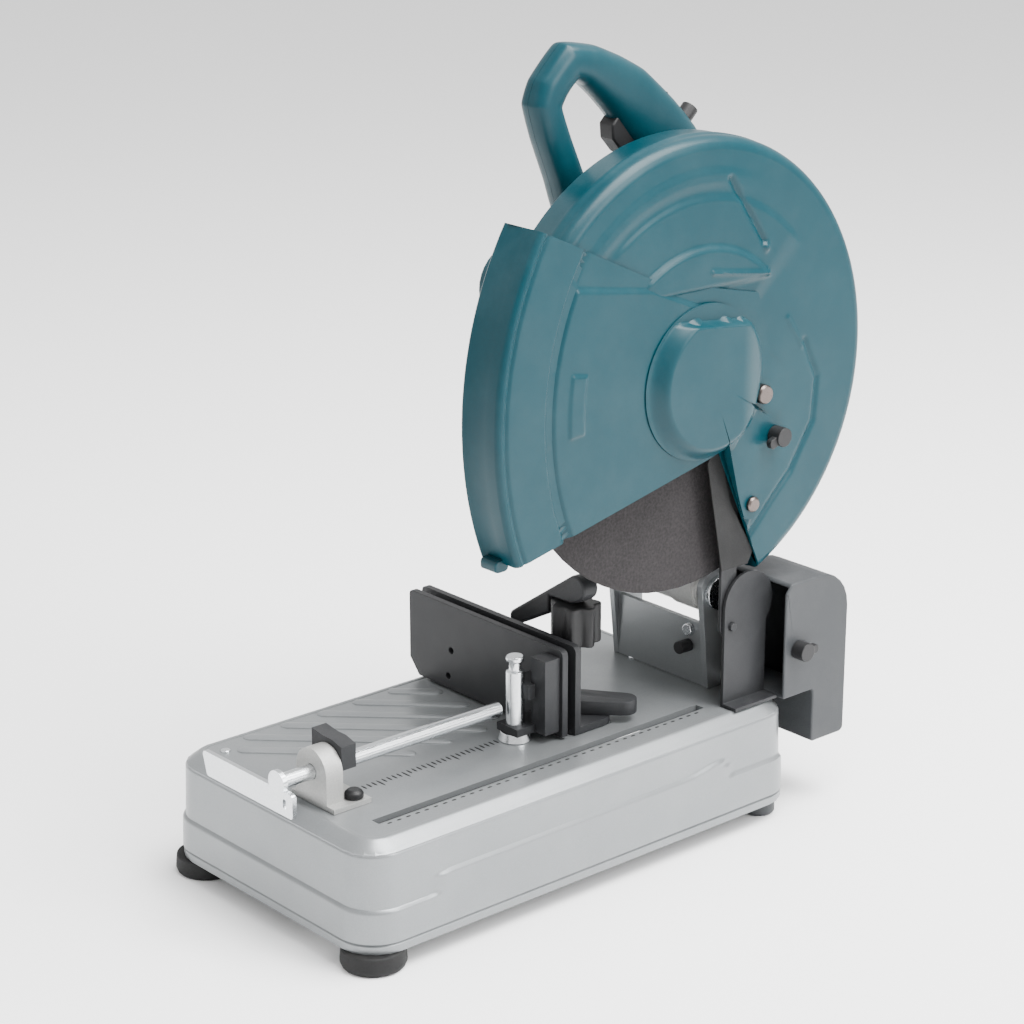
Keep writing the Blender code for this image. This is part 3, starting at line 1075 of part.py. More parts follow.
def make_cover(head):
    """The hinged cover over the spindle bolt; the wing bolt holds it shut."""
    hinge = (COVER_HINGE_Y, COVER_HINGE_Z)
    centre = (0, SPINDLE_Y, SPINDLE_Z)
    radius, low, high = COVER_RADIUS, COVER_X, COVER_FRONT
    dome = turned([(0, high + COVER_DOME), (radius - 14 * MM, high + COVER_DOME), (radius - 4 * MM, high),
                   (radius, high),
                   (radius, low), (radius - 4 * MM, low), (radius - 14 * MM, low + COVER_DOME),
                   (0, low + COVER_DOME)],
                  "X", centre, 40)
    lobe = sheet([hull([(*hinge, 13 * MM), (WING_BOLT_Y, WING_BOLT_Z, 13 * MM),
                        (SPINDLE_Y + 30 * MM, SPINDLE_Z - 30 * MM, 14 * MM)], 8)], "X", low, high)
    join(dome, lobe)
    cut(dome, rod("X", (low - 5 * MM, *hinge), 20 * MM, BOLT_RADIUS + RUN_GAP, 16),
        rod("X", (low - 5 * MM, WING_BOLT_Y, WING_BOLT_Z), 20 * MM, BOLT_RADIUS + RUN_GAP, 16),
        rod("X", (low - 5 * MM, GUARD_PIVOT_Y, GUARD_PIVOT_Z), 30 * MM, 9 * MM, 20))
    axis = make_axis("cover_axis", (low, *hinge), head)
    keep(dome, "centre_cover", "teal_paint", axis)

    bolt_low = CASE_FACE_X - CASE_WALL - 6 * MM
    screw = turned([(0, high + 4 * MM), (5 * MM, high + 4 * MM), (6.5 * MM, high + 2.5 * MM),
                    (6.5 * MM, high + GAP),
                    (BOLT_RADIUS, high + GAP), (BOLT_RADIUS, bolt_low), (0, bolt_low)], "X", (0, *hinge), 20)
    keep(screw, "cover_hinge_screw", "steel", head)
    bolt_axis = make_axis("cover_bolt_axis", (high, WING_BOLT_Y, WING_BOLT_Z), axis)
    wing_bolt("cover_wing_bolt", (high + GAP, WING_BOLT_Y, WING_BOLT_Z), WING_SHANK, math.radians(200),
              bolt_axis)


def make_deflector(head):
    """A black sheet inside the case that turns sparks back to the spark guard."""
    low = CASE_FACE_X - CASE_WALL - GAP - 1.5 * MM
    apex_y, apex_z = WEDGE_APEX
    outline = [(apex_y + 2 * MM, apex_z + 5 * MM), (apex_y - 9 * MM, apex_z - 11 * MM),
               (PIVOT_Y - 35 * MM, PIVOT_Z + 36 * MM), (PIVOT_Y - 5 * MM, PIVOT_Z + 36 * MM),
               (PIVOT_Y + 1 * MM, PIVOT_Z + 46 * MM), (COVER_HINGE_Y - 15 * MM, COVER_HINGE_Z + 1 * MM)]
    keep(sheet([outline], "X", low, low + 1.5 * MM), "chip_deflector", "rubber", head)


# ---------------------------------------------------------------- handle
def in_metres(points):
    return [(y * MM, z * MM) for y, z in points]


def make_handle(head):
    """A D-shaped handle in two halves, which meet on the plane of the trigger."""
    outer = rounded(in_metres(HANDLE_OUTER), 9 * MM, 3)
    loop = rounded(in_metres(HANDLE_LOOP), 6 * MM, 3)
    switch = SWITCH_BOX
    for name, low, high in (("left", HANDLE_X - HANDLE_HALF - 1 * MM, HANDLE_X - GAP / 2),
                            ("right", HANDLE_X + GAP / 2, HANDLE_X + HANDLE_HALF + 1 * MM)):
        half = sheet([outer, loop], "X", HANDLE_X - HANDLE_HALF, HANDLE_X + HANDLE_HALF, 4 * MM)
        common(half, box((low, 0, 400 * MM), (high, 300 * MM, 700 * MM)))
        room_low = HANDLE_X - TRIGGER_HALF - GAP
        room_high = HANDLE_X + TRIGGER_HALF + GAP
        cut(half, sheet([in_metres(switch)], "X", room_low, room_high),
            rod_at_angle(LOCK_BUTTON, LOCK_BUTTON_ANGLE, 26 * MM, 7 * MM + GAP, -13 * MM))
        keep(half, "handle_" + name, "teal_paint", head)

    trigger_axis = make_axis("trigger_axis", (HANDLE_X, TRIGGER_PIVOT[0], TRIGGER_PIVOT[1]), head)
    trigger = sheet([rounded(in_metres(TRIGGER), 2.5 * MM, 3)], "X", HANDLE_X - TRIGGER_HALF,
                    HANDLE_X + TRIGGER_HALF)
    keep(trigger, "trigger", "black_plastic", trigger_axis)
    body = sheet([in_metres(SWITCH_BODY)], "X", HANDLE_X - TRIGGER_HALF, HANDLE_X + TRIGGER_HALF)
    keep(body, "switch_body", "black_plastic", head)
    button_axis = make_axis("lock_button_axis", (HANDLE_X, *LOCK_BUTTON), head)
    button = rod_at_angle(LOCK_BUTTON, LOCK_BUTTON_ANGLE, 14 * MM, 7 * MM, -5 * MM)
    keep(button, "lock_off_button", "black_plastic", button_axis)


def rod_at_angle(point, angle, length, radius, start):
    """A round pin in the handle's middle plane; it leans from +Y towards +Z by angle."""
    shape = rod("Y", (0, start, 0), length, radius, 20)
    place = Matrix.Translation((HANDLE_X, *point)) @ Matrix.Rotation(angle, 4, "X")
    shape.data.transform(place)
    return shape


def make_gland(head):
    """The rubber sleeve where the mains cord enters the rear of the handle."""
    top = 506 * MM
    sleeve = turned([(5 * MM, 30 * MM), (7 * MM, 30 * MM), (8 * MM, 4 * MM), (11 * MM, 3 * MM),
                     (11 * MM, 0), (5 * MM, 0)],
                    "Y", (HANDLE_X, 212.5 * MM, top), 20)
    keep(sleeve, "cord_gland", "rubber", head)


def build():
    make_base()
    make_feet()
    make_rear_bracket()
    make_spring()
    make_lock_pin()
    make_side_plate()
    make_spark_guard()
    make_vise_bracket()
    make_clasp()
    make_vise()
    make_guide()
    head = make_axis("head_axis", (0, PIVOT_Y, PIVOT_Z))
    make_arm(head)
    make_spindle(head)
    make_motor(head)
    make_shaft_lock(head)
    make_case(head)
    make_guard(head)
    make_cover(head)
    make_deflector(head)
    make_handle(head)
    make_gland(head)


build()
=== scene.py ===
import json
import math

import bmesh
import bpy
import numpy as np
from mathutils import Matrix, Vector

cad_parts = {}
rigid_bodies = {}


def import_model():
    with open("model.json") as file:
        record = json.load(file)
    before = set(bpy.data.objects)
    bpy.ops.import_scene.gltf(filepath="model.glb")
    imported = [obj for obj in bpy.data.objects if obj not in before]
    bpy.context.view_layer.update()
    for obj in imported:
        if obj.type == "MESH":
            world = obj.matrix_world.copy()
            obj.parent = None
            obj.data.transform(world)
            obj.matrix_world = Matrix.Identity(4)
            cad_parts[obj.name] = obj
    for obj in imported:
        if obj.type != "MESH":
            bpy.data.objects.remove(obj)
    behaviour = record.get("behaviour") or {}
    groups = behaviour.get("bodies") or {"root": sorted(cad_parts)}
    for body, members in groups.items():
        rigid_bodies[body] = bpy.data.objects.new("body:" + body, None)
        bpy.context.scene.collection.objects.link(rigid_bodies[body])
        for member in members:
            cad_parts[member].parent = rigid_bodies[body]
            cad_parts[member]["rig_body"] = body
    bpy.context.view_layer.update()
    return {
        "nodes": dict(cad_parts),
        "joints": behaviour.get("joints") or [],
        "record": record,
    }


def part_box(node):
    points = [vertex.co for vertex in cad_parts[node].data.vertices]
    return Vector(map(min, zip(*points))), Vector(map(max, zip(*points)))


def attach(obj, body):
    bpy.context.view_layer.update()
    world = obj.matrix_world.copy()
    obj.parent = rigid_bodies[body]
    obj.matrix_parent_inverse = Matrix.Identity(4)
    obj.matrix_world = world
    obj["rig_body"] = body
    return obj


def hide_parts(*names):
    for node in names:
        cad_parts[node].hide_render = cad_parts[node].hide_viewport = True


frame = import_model()
nodes = frame["nodes"]
mm = 0.001
turn = 2 * math.pi


# places, all read from the frame

def low(node):
    return np.array(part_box(node)[0])


def high(node):
    return np.array(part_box(node)[1])


def middle(node):
    return (low(node) + high(node)) / 2


def jointPoint(name):
    return np.array(next(j["pos_m"] for j in frame["joints"] if j["name"] == name))


spindle = middle("abrasive_wheel")[1:]         # (y, z) of the wheel's axis
guardPivot = jointPoint("guard_swing")[1:]
coverHinge = jointPoint("cover_swing")[1:]
caseFace = high("wheel_case")[0]
tableTop = high("base")[2]


# materials

def groupTree(name, sockets):
    tree = bpy.data.node_groups.new(name, "ShaderNodeTree")
    for label, way, kind, value in sockets:
        socket = tree.interface.new_socket(label, in_out=way, socket_type=kind)
        if value is not None:
            socket.default_value = value
    return tree, tree.nodes.new("NodeGroupInput"), tree.nodes.new("NodeGroupOutput")


def link(tree, source, target):
    tree.links.new(source, target)


def addNode(tree, kind, **values):
    node = tree.nodes.new(kind)
    for key, value in values.items():
        if hasattr(node, key):
            setattr(node, key, value)
        else:
            node.inputs[key.replace("_", " ")].default_value = value
    return node


def makeGrain():
    # one noise at the given scale: Height for a bump, Mask for small changes of tone or gloss
    tree, entry, leave = groupTree("fineGrain", (
        ("Scale", "INPUT", "NodeSocketFloat", 800.0), ("Detail", "INPUT", "NodeSocketFloat", 3.0),
        ("Height", "OUTPUT", "NodeSocketFloat", None), ("Mask", "OUTPUT", "NodeSocketFloat", None)))
    place = addNode(tree, "ShaderNodeTexCoord")
    noise = addNode(tree, "ShaderNodeTexNoise", Roughness=0.6)
    spread = addNode(tree, "ShaderNodeMapRange", From_Min=0.3, From_Max=0.7)
    link(tree, place.outputs["Object"], noise.inputs["Vector"])
    link(tree, entry.outputs["Scale"], noise.inputs["Scale"])
    link(tree, entry.outputs["Detail"], noise.inputs["Detail"])
    link(tree, noise.outputs["Fac"], leave.inputs["Height"])
    link(tree, noise.outputs["Fac"], spread.inputs["Value"])
    link(tree, spread.outputs["Result"], leave.inputs["Mask"])
    return tree


def makeDust():
    # broad soft cloud times how far the face looks up: where metal dust settles
    tree, entry, leave = groupTree("settledDust", (
        ("Amount", "INPUT", "NodeSocketFloat", 0.2), ("Mask", "OUTPUT", "NodeSocketFloat", None)))
    place = addNode(tree, "ShaderNodeTexCoord")
    cloud = addNode(tree, "ShaderNodeTexNoise", Scale=22.0, Detail=6.0, Roughness=0.65)
    shape = addNode(tree, "ShaderNodeNewGeometry")
    split = addNode(tree, "ShaderNodeSeparateXYZ")
    up = addNode(tree, "ShaderNodeMapRange", From_Min=-0.2, From_Max=1.0, To_Min=0.25)
    spread = addNode(tree, "ShaderNodeMapRange", From_Min=0.42, From_Max=0.72)
    both = addNode(tree, "ShaderNodeMath", operation="MULTIPLY")
    final = addNode(tree, "ShaderNodeMath", operation="MULTIPLY")
    link(tree, place.outputs["Object"], cloud.inputs["Vector"])
    link(tree, cloud.outputs["Fac"], spread.inputs["Value"])
    link(tree, shape.outputs["Normal"], split.inputs["Vector"])
    link(tree, split.outputs["Z"], up.inputs["Value"])
    link(tree, up.outputs["Result"], both.inputs[0])
    link(tree, spread.outputs["Result"], both.inputs[1])
    link(tree, both.outputs["Value"], final.inputs[0])
    link(tree, entry.outputs["Amount"], final.inputs[1])
    link(tree, final.outputs["Value"], leave.inputs["Mask"])
    return tree


fineGrain = makeGrain()
settledDust = makeDust()

finishes = {
    "teal_paint": {
        "tone": (0.0001, 0.033, 0.045), "deep": (0.0001, 0.026, 0.036), "dustTone": (0.25, 0.33, 0.34),
        "rough": (0.30, 0.40), "metal": 0.0, "grain": 900, "bump": 0.05, "dust": 0.05, "shine": 0.22},
    "silver_paint": {
        "tone": (0.25, 0.262, 0.268), "deep": (0.19, 0.20, 0.206), "dustTone": (0.42, 0.42, 0.41),
        "rough": (0.28, 0.38), "metal": 0.55, "grain": 1400, "bump": 0.10, "dust": 0.12},
    "dark_sheet": {
        "tone": (0.022, 0.023, 0.025), "deep": (0.012, 0.0125, 0.014), "dustTone": (0.16, 0.16, 0.16),
        "rough": (0.42, 0.58), "metal": 0.1, "grain": 1500, "bump": 0.12, "dust": 0.12},
    "black_plastic": {
        "tone": (0.011, 0.011, 0.012), "deep": (0.007, 0.007, 0.0075), "dustTone": (0.10, 0.10, 0.10),
        "rough": (0.38, 0.55), "metal": 0.0, "grain": 1800, "bump": 0.15, "dust": 0.10},
    "grey_plastic": {
        "tone": (0.038, 0.041, 0.044), "deep": (0.027, 0.029, 0.032), "dustTone": (0.20, 0.20, 0.20),
        "rough": (0.45, 0.60), "metal": 0.0, "grain": 1500, "bump": 0.18, "dust": 0.15},
    "rubber": {
        "tone": (0.008, 0.008, 0.0085), "deep": (0.005, 0.005, 0.0052), "dustTone": (0.09, 0.09, 0.085),
        "rough": (0.60, 0.80), "metal": 0.0, "grain": 1200, "bump": 0.25, "dust": 0.20},
    "zinc": {
        "tone": (0.72, 0.74, 0.75), "deep": (0.60, 0.62, 0.64), "dustTone": (0.45, 0.45, 0.44),
        "rough": (0.18, 0.30), "metal": 1.0, "grain": 500, "bump": 0.03, "dust": 0.05},
    "cast_alloy": {
        "tone": (0.46, 0.46, 0.45), "deep": (0.36, 0.36, 0.35), "dustTone": (0.30, 0.30, 0.29),
        "rough": (0.42, 0.58), "metal": 0.75, "grain": 700, "bump": 0.35, "dust": 0.15},
    "steel": {
        "tone": (0.16, 0.135, 0.125), "deep": (0.09, 0.072, 0.066), "dustTone": (0.25, 0.23, 0.21),
        "rough": (0.28, 0.42), "metal": 1.0, "grain": 900, "bump": 0.06, "dust": 0.08},
    "abrasive": {
        "tone": (0.026, 0.023, 0.024), "deep": (0.011, 0.010, 0.0105), "dustTone": (0.1, 0.1, 0.1),
        "rough": (0.80, 0.97), "metal": 0.0, "grain": 420, "bump": 0.9, "dust": 0.0},
    "copper": {
        "tone": (0.55, 0.22, 0.10), "deep": (0.30, 0.10, 0.05), "dustTone": (0.2, 0.15, 0.1),
        "rough": (0.28, 0.45), "metal": 1.0, "grain": 300, "bump": 0.4, "dust": 0.05},
}


# share of fine and broad grain in the tone, and the bump's depth in metres
grainMix = {"fine": 0.6, "broad": 0.4, "broadScale": 9.0, "bumpDepth": 0.0004, "shine": 0.3}


def makeFinish(name, look):
    # tone mixed with its deeper shade by the grain, dust laid over it, gloss and bump from the same grain
    material = bpy.data.materials.new(name)
    material.use_nodes = True
    tree = material.node_tree
    shader = tree.nodes["Principled BSDF"]
    grain = addNode(tree, "ShaderNodeGroup", node_tree=fineGrain, Scale=look["grain"])
    broad = addNode(tree, "ShaderNodeGroup", node_tree=fineGrain, Scale=grainMix["broadScale"])
    dust = addNode(tree, "ShaderNodeGroup", node_tree=settledDust, Amount=look["dust"])
    share = addNode(tree, "ShaderNodeMath", operation="MULTIPLY_ADD")
    share.inputs[1].default_value = grainMix["fine"]
    scaled = addNode(tree, "ShaderNodeMath", operation="MULTIPLY")
    scaled.inputs[1].default_value = grainMix["broad"]
    link(tree, broad.outputs["Mask"], scaled.inputs[0])
    link(tree, grain.outputs["Mask"], share.inputs[0])
    link(tree, scaled.outputs["Value"], share.inputs[2])
    colour = addNode(tree, "ShaderNodeMix", data_type="RGBA")
    colour.inputs["A"].default_value = (*look["tone"], 1)
    colour.inputs["B"].default_value = (*look["deep"], 1)
    dusty = addNode(tree, "ShaderNodeMix", data_type="RGBA")
    dusty.inputs["B"].default_value = (*look["dustTone"], 1)
    link(tree, share.outputs["Value"], colour.inputs["Factor"])
    link(tree, colour.outputs["Result"], dusty.inputs["A"])
    link(tree, dust.outputs["Mask"], dusty.inputs["Factor"])
    link(tree, dusty.outputs["Result"], shader.inputs["Base Color"])
    gloss = addNode(tree, "ShaderNodeMapRange", To_Min=look["rough"][0], To_Max=look["rough"][1])
    link(tree, share.outputs["Value"], gloss.inputs["Value"])
    link(tree, gloss.outputs["Result"], shader.inputs["Roughness"])
    bump = addNode(tree, "ShaderNodeBump", Strength=look["bump"], Distance=grainMix["bumpDepth"])
    link(tree, grain.outputs["Height"], bump.inputs["Height"])
    link(tree, bump.outputs["Normal"], shader.inputs["Normal"])
    shader.inputs["Metallic"].default_value = look["metal"]
    shader.inputs["Specular IOR Level"].default_value = look.get("shine", grainMix["shine"])
    return material


finish = {name: makeFinish(name, values) for name, values in finishes.items()}
print("finishes ready:", len(finish))


# every CAD node takes its finish from its slot in the record

slotOf = {entry["node"]: entry["material_slot"] for entry in frame["record"]["subparts"]}
for name, slotName in slotOf.items():
    node = nodes[name]
    node.data.materials.clear()
    node.data.materials.append(finish[slotName])
bodyOf = {name: node["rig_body"] for name, node in nodes.items()}


# how pieces are made

def gridFaces(rows, columns, wrapRows, wrapColumns, first=0):
    # quads between each row and the next, and each column and the next, going round where they wrap
    r = np.arange(rows if wrapRows else rows - 1)[:, None]
    c = np.arange(columns if wrapColumns else columns - 1)[None, :]
    r2, c2 = (r + 1) % rows, (c + 1) % columns
    quads = np.stack([r * columns + c, r * columns + c2, r2 * columns + c2, r2 * columns + c], axis=-1)
    return quads.reshape(-1, 4) + first


def makePiece(name, grids, body, slotName, replaced=(), sharp=32, flip=False):
    # grids is a list of (points, wrapRows, wrapColumns), each points array rows x columns x 3
    points = np.concatenate([g[0].reshape(-1, 3) for g in grids])
    faces, first = [], 0
    for g, wrapRows, wrapColumns in grids:
        faces.append(gridFaces(g.shape[0], g.shape[1], wrapRows, wrapColumns, first))
        first += g.shape[0] * g.shape[1]
    faces = np.concatenate(faces)
    if flip:
        faces = faces[:, ::-1]
    mesh = bpy.data.meshes.new(name)
    mesh.from_pydata(points.tolist(), [], faces.tolist())
    tidy = bmesh.new()
    tidy.from_mesh(mesh)
    bmesh.ops.remove_doubles(tidy, verts=tidy.verts, dist=1e-6)        # closes seams and poles
    bmesh.ops.dissolve_degenerate(tidy, edges=tidy.edges, dist=1e-7)
    tidy.to_mesh(mesh)
    tidy.free()
    piece = bpy.data.objects.new(name, mesh)
    return placePiece(piece, body, slotName, replaced, sharp)


def placePiece(piece, body, slotName, replaced=(), sharp=32):
    if piece.name not in bpy.context.scene.collection.objects:
        bpy.context.scene.collection.objects.link(piece)
    piece.data.materials.clear()
    piece.data.materials.append(finish[slotName])
    piece.data.shade_smooth()
    piece.data.set_sharp_from_angle(angle=math.radians(sharp))
    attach(piece, body)
    if replaced:
        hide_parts(*replaced)
    return piece


rounded = {"segments": 3, "angle": 30, "flatAngle": 0.5, "merge": 2e-6, "sharp": 40}


def softenNode(node, width):
    # a merged copy of a CAD node with its edges rounded, in place of the node
    mesh = nodes[node].data.copy()
    tidy = bmesh.new()
    tidy.from_mesh(mesh)
    bmesh.ops.remove_doubles(tidy, verts=tidy.verts, dist=rounded["merge"])
    flat = math.radians(rounded["flatAngle"])
    bmesh.ops.dissolve_limit(tidy, angle_limit=flat, verts=tidy.verts, edges=tidy.edges)
    tidy.to_mesh(mesh)
    tidy.free()
    piece = bpy.data.objects.new(node.replace("_", "-") + "-shaped", mesh)
    placePiece(piece, bodyOf[node], slotOf[node], [node], sharp=rounded["sharp"])
    rounding = piece.modifiers.new("rounding", "BEVEL")
    rounding.width = width
    rounding.segments = rounded["segments"]
    rounding.limit_method = "ANGLE"
    rounding.angle_limit = math.radians(rounded["angle"])
    rounding.harden_normals = False


# camera, floor and light

camera = {"place": (1.5452, -1.3668, 0.9647), "azimuth": 48.85, "pitch": 18.42, "lens": 94.7,
          "sensor": 36.0, "farEnd": 50}


def placeCamera():
    data = bpy.data.cameras.new("view")
    data.lens = camera["lens"]
    data.sensor_width = camera["sensor"]
    data.clip_end = camera["farEnd"]
    view = bpy.data.objects.new("view", data)
    view.location = camera["place"]
    view.rotation_euler = (math.radians(90 - camera["pitch"]), 0, math.radians(camera["azimuth"]))
    bpy.context.scene.collection.objects.link(view)
    bpy.context.scene.camera = view


# each lamp has its place, its size and its power
studio = {"worldStrength": 1.2, "floorReach": 12.0, "floorRough": 0.9, "aim": (0, 0, 0.3),
          "lamps": {"overhead": ((0.7, 0.5, 2.4), (1.8, 1.8), 210),
                    "keyRight": ((2.3, 0.9, 1.5), (1.0, 1.4), 62),
                    "fillFront": ((-0.9, -2.4, 1.3), (1.6, 1.4), 6)}}


def softLight(name, place, size, power):
    data = bpy.data.lights.new(name, "AREA")
    data.shape = "RECTANGLE"
    data.size, data.size_y = size
    data.energy = power
    lamp = bpy.data.objects.new(name, data)
    lamp.location = place
    direction = Vector(studio["aim"]) - Vector(place)
    lamp.rotation_euler = direction.to_track_quat("-Z", "Y").to_euler()
    bpy.context.scene.collection.objects.link(lamp)


def makeStudio():
    world = bpy.data.worlds.new("studio")
    bpy.context.scene.world = world
    world.use_nodes = True
    sky = world.node_tree.nodes["Background"]
    sky.inputs["Color"].default_value = (1.0, 1.0, 1.0, 1)
    sky.inputs["Strength"].default_value = studio["worldStrength"]
    for name, (place, size, power) in studio["lamps"].items():
        softLight(name, place, size, power)
    mesh = bpy.data.meshes.new("floor")
    side = studio["floorReach"]
    corners = [(-side, -side, 0), (side, -side, 0), (side, side, 0), (-side, side, 0)]
    mesh.from_pydata(corners, [], [(0, 1, 2, 3)])
    floor = bpy.data.objects.new("floor", mesh)
    paper = bpy.data.materials.new("paper")
    paper.use_nodes = True
    shader = paper.node_tree.nodes["Principled BSDF"]
    shader.inputs["Base Color"].default_value = (1.0, 1.0, 1.0, 1)
    shader.inputs["Roughness"].default_value = studio["floorRough"]
    mesh.materials.append(paper)
    bpy.context.scene.collection.objects.link(floor)


placeCamera()
makeStudio()
print("camera and light ready")


# outlines and heights shared by the sheet-metal pieces

def smooth(t):
    # eases from 0 to 1 as t goes from 0 to 1
    t = np.clip(t, 0, 1)
    return t * t * (3 - 2 * t)


def alongPath(path, shares):
    # points at the given shares of a polyline's whole length
    path = np.asarray(path, float)
    steps = np.hypot(*np.diff(path, axis=0).T)
    reach = np.concatenate([[0], np.cumsum(steps)]) / steps.sum()
    return np.stack([np.interp(shares, reach, column) for column in path.T], axis=-1)


def arcPoints(centre, radius, start, end, count):
    # evenly spaced points on a circle, from one angle to another in degrees
    angle = np.radians(np.linspace(start, end, count))
    return np.stack([centre[0] + radius * np.cos(angle), centre[1] + radius * np.sin(angle)], axis=-1)


def nearPath(y, z, path):
    # distance of every point from the nearest straight stretch of a path
    nearest = np.full(y.shape, 1e3)
    for a, b in zip(path[:-1], path[1:]):
        a, b = np.array(a, float), np.array(b, float)
        d = b - a
        share = np.clip(((y - a[0]) * d[0] + (z - a[1]) * d[1]) / (d @ d), 0, 1)
        nearest = np.minimum(nearest, np.hypot(y - a[0] - share * d[0], z - a[1] - share * d[1]))
    return nearest


def crease(y, z, path, width, depth):
    # a bell across the path: depth on it, nothing a few widths away
    return depth * np.exp(-(nearPath(y, z, path) / width) ** 2)


def belowLine(y, z, a, b):
    # signed distance under the line from a to b, positive on its lower side
    d = np.array(b, float) - np.array(a, float)
    d = d / np.hypot(*d)
    return (y - a[0]) * d[1] - (z - a[1]) * d[0]


def rayExit(angles, corners):
    # how far a ray from the centre goes before it meets the polyline of corners, 1000 where it never does
    direction = np.stack([np.cos(angles), np.sin(angles)], axis=-1)
    reach = np.full(angles.shape, 1e3)
    for a, b in zip(corners[:-1], corners[1:]):
        a, b = np.array(a, float), np.array(b, float)
        side = b - a
        cross = direction[:, 0] * side[1] - direction[:, 1] * side[0]
        cross = np.where(np.abs(cross) < 1e-12, 1e-12, cross)
        t = (a[0] * side[1] - a[1] * side[0]) / cross
        u = (a[0] * direction[:, 1] - a[1] * direction[:, 0]) / cross
        hit = (t > 0) & (u >= -1e-9) & (u <= 1 + 1e-9)
        reach = np.where(hit, np.minimum(reach, t), reach)
    return reach


def lineAngle(radius, a, b):
    # the angle where the line from a towards b crosses circles of the given radii round the centre
    a, d = np.array(a, float), np.array(b, float) - np.array(a, float)
    d = d / np.hypot(*d)
    along = a @ d
    t = -along + np.sqrt(np.maximum(along ** 2 - a @ a + np.asarray(radius) ** 2, 0))
    return np.arctan2(a[1] + t * d[1], a[0] + t * d[0])


def stand(y, z, x, centre):
    # (y, z) in mm round a centre and x in metres, as points of the frame
    return np.stack([x * np.ones_like(y), centre[0] + y * mm, centre[1] + z * mm], axis=-1)


def foldedEdge(out, top, fillet, wall, count):
    # outer and inner quarter turns of a sheet bent down at its edge, as (radius, x) in mm
    bend = np.linspace(0, math.pi / 2, count)
    back, inner = bend[::-1], fillet - wall
    outside = np.stack([out - fillet + fillet * np.sin(bend), top - fillet + fillet * np.cos(bend)], axis=-1)
    inside = np.stack([out - fillet + inner * np.sin(back), top - fillet + inner * np.cos(back)], axis=-1)
    return outside, inside


def closeEnds(points, column):
    # a row is added at either end, drawn together at one column of the profile
    first, last = (row * 0 + row[:, column:column + 1] for row in (points[:1], points[-1:]))
    return np.concatenate([first, points, last])


# wheel case

wheelCase = {"radius": 192.0, "fillet": 10.0, "wall": 2.0, "depth": 42.0, "hole": 38.0,
             "frontAngle": 150.0,
             "apex": (24.0, -61.0), "low": (73.0, -166.0), "frontCut": [(-60, -30), (-100, 46)],
             "frontReach": 232, "rounds": [380, 8, 26, 44, 26],
             "columns": 118, "backColumns": 14, "rimSteps": 200,
             "sector": (38, 134), "sectorFade": (10, 12),
             "dish": {"rise": 3.2, "radius": 109.0, "fade": 6, "above": 70, "aboveFade": 7},
             "step": {"rise": 1.4, "radius": 149, "fade": 7},
             "ring": {"rise": 0.9, "from": 150, "to": 170, "fade": 8, "start": 60, "startFade": 30},
             # pressed lines: a path, its width and its height, negative where it is sunk
             "lines": [([(31, 156), (69, 102)], 2.6, -2.6),
                       ([(70.5, 98), (71.5, 96)], 2.6, 2.4),
                       ([(9, 86), (40, 81), (75, 76)], 1.8, 1.5),
                       ([(121, 12), (137, -21), (134, -58), (109, -96), (86, -118), (58, -146)], 2.4, -1.8),
                       ([(100, 34), (118, 8)], 2.0, 0.8),
                       ([(74, -112), (62, -126), (57, -138)], 2.0, 1.0)]}


def caseHeight(y, z):
    # mm above the flat face: dish and step in the upper sector, the pressed lines, a low ring inside the rim
    c = wheelCase
    dish, step, ring = c["dish"], c["step"], c["ring"]
    r = np.hypot(y, z)
    angle = np.degrees(np.arctan2(z, y))
    (start, end), (startFade, endFade) = c["sector"], c["sectorFade"]
    upper = smooth((angle - start) / startFade) * smooth((end - angle) / endFade)
    above = smooth((z - dish["above"]) / dish["aboveFade"])
    h = dish["rise"] * smooth((dish["radius"] - r) / dish["fade"]) * upper * above
    h += step["rise"] * smooth((step["radius"] - r) / step["fade"]) * upper
    for path, width, rise in c["lines"]:
        h += crease(y, z, path, width, rise)
    between = smooth((r - ring["from"]) / ring["fade"]) * smooth((ring["to"] - r) / ring["fade"])
    return h + ring["rise"] * between * smooth((angle - ring["start"]) / ring["startFade"])


def makeCaseFace():
    # radius is a share of the way from the hole to the outline, angle goes round; then the back of the sheet
    c = wheelCase
    frontAngle = math.radians(c["frontAngle"])
    front = (c["frontReach"] * math.cos(frontAngle), c["frontReach"] * math.sin(frontAngle))
    beyond = np.array(c["low"]) * 1.6 - np.array(c["apex"]) * 0.6        # past the low corner
    cutEdge = [beyond, c["apex"], *c["frontCut"], front]
    inner = c["radius"] - c["fillet"]
    first = float(lineAngle(inner, c["apex"], c["low"]))
    corners = [math.atan2(p[1], p[0]) % turn for p in (cutEdge[3], cutEdge[2], cutEdge[1])]
    stops = [first, frontAngle, *corners, first + turn]
    stretches = zip(stops, stops[1:], c["rounds"])
    angles = np.concatenate([np.linspace(a, b, n, endpoint=False) for a, b, n in stretches])
    reach = np.minimum(rayExit(angles, cutEdge), inner)
    alongRim = (angles > stops[0] + 1e-6) & (angles < stops[1] - 1e-6)
    reach = np.where(alongRim, inner, reach)
    outwards, inwards = np.linspace(0, 1, c["columns"]) ** 0.85, np.linspace(1, 0, c["backColumns"])
    shares = np.concatenate([outwards, [1.0], [1.0], inwards])
    drop = np.concatenate([np.zeros(c["columns"]), [0.5], [1.5], np.full(c["backColumns"], c["wall"])])
    r = c["hole"] + (reach[:, None] - c["hole"]) * shares[None, :]
    y, z = r * np.cos(angles)[:, None], r * np.sin(angles)[:, None]
    x = caseFace + (caseHeight(y, z) - drop[None, :]) * mm
    points = stand(y, z, x, spindle)
    makePiece("wheel-case-face", [(points, True, True)], "head", "teal_paint", ["wheel_case"])


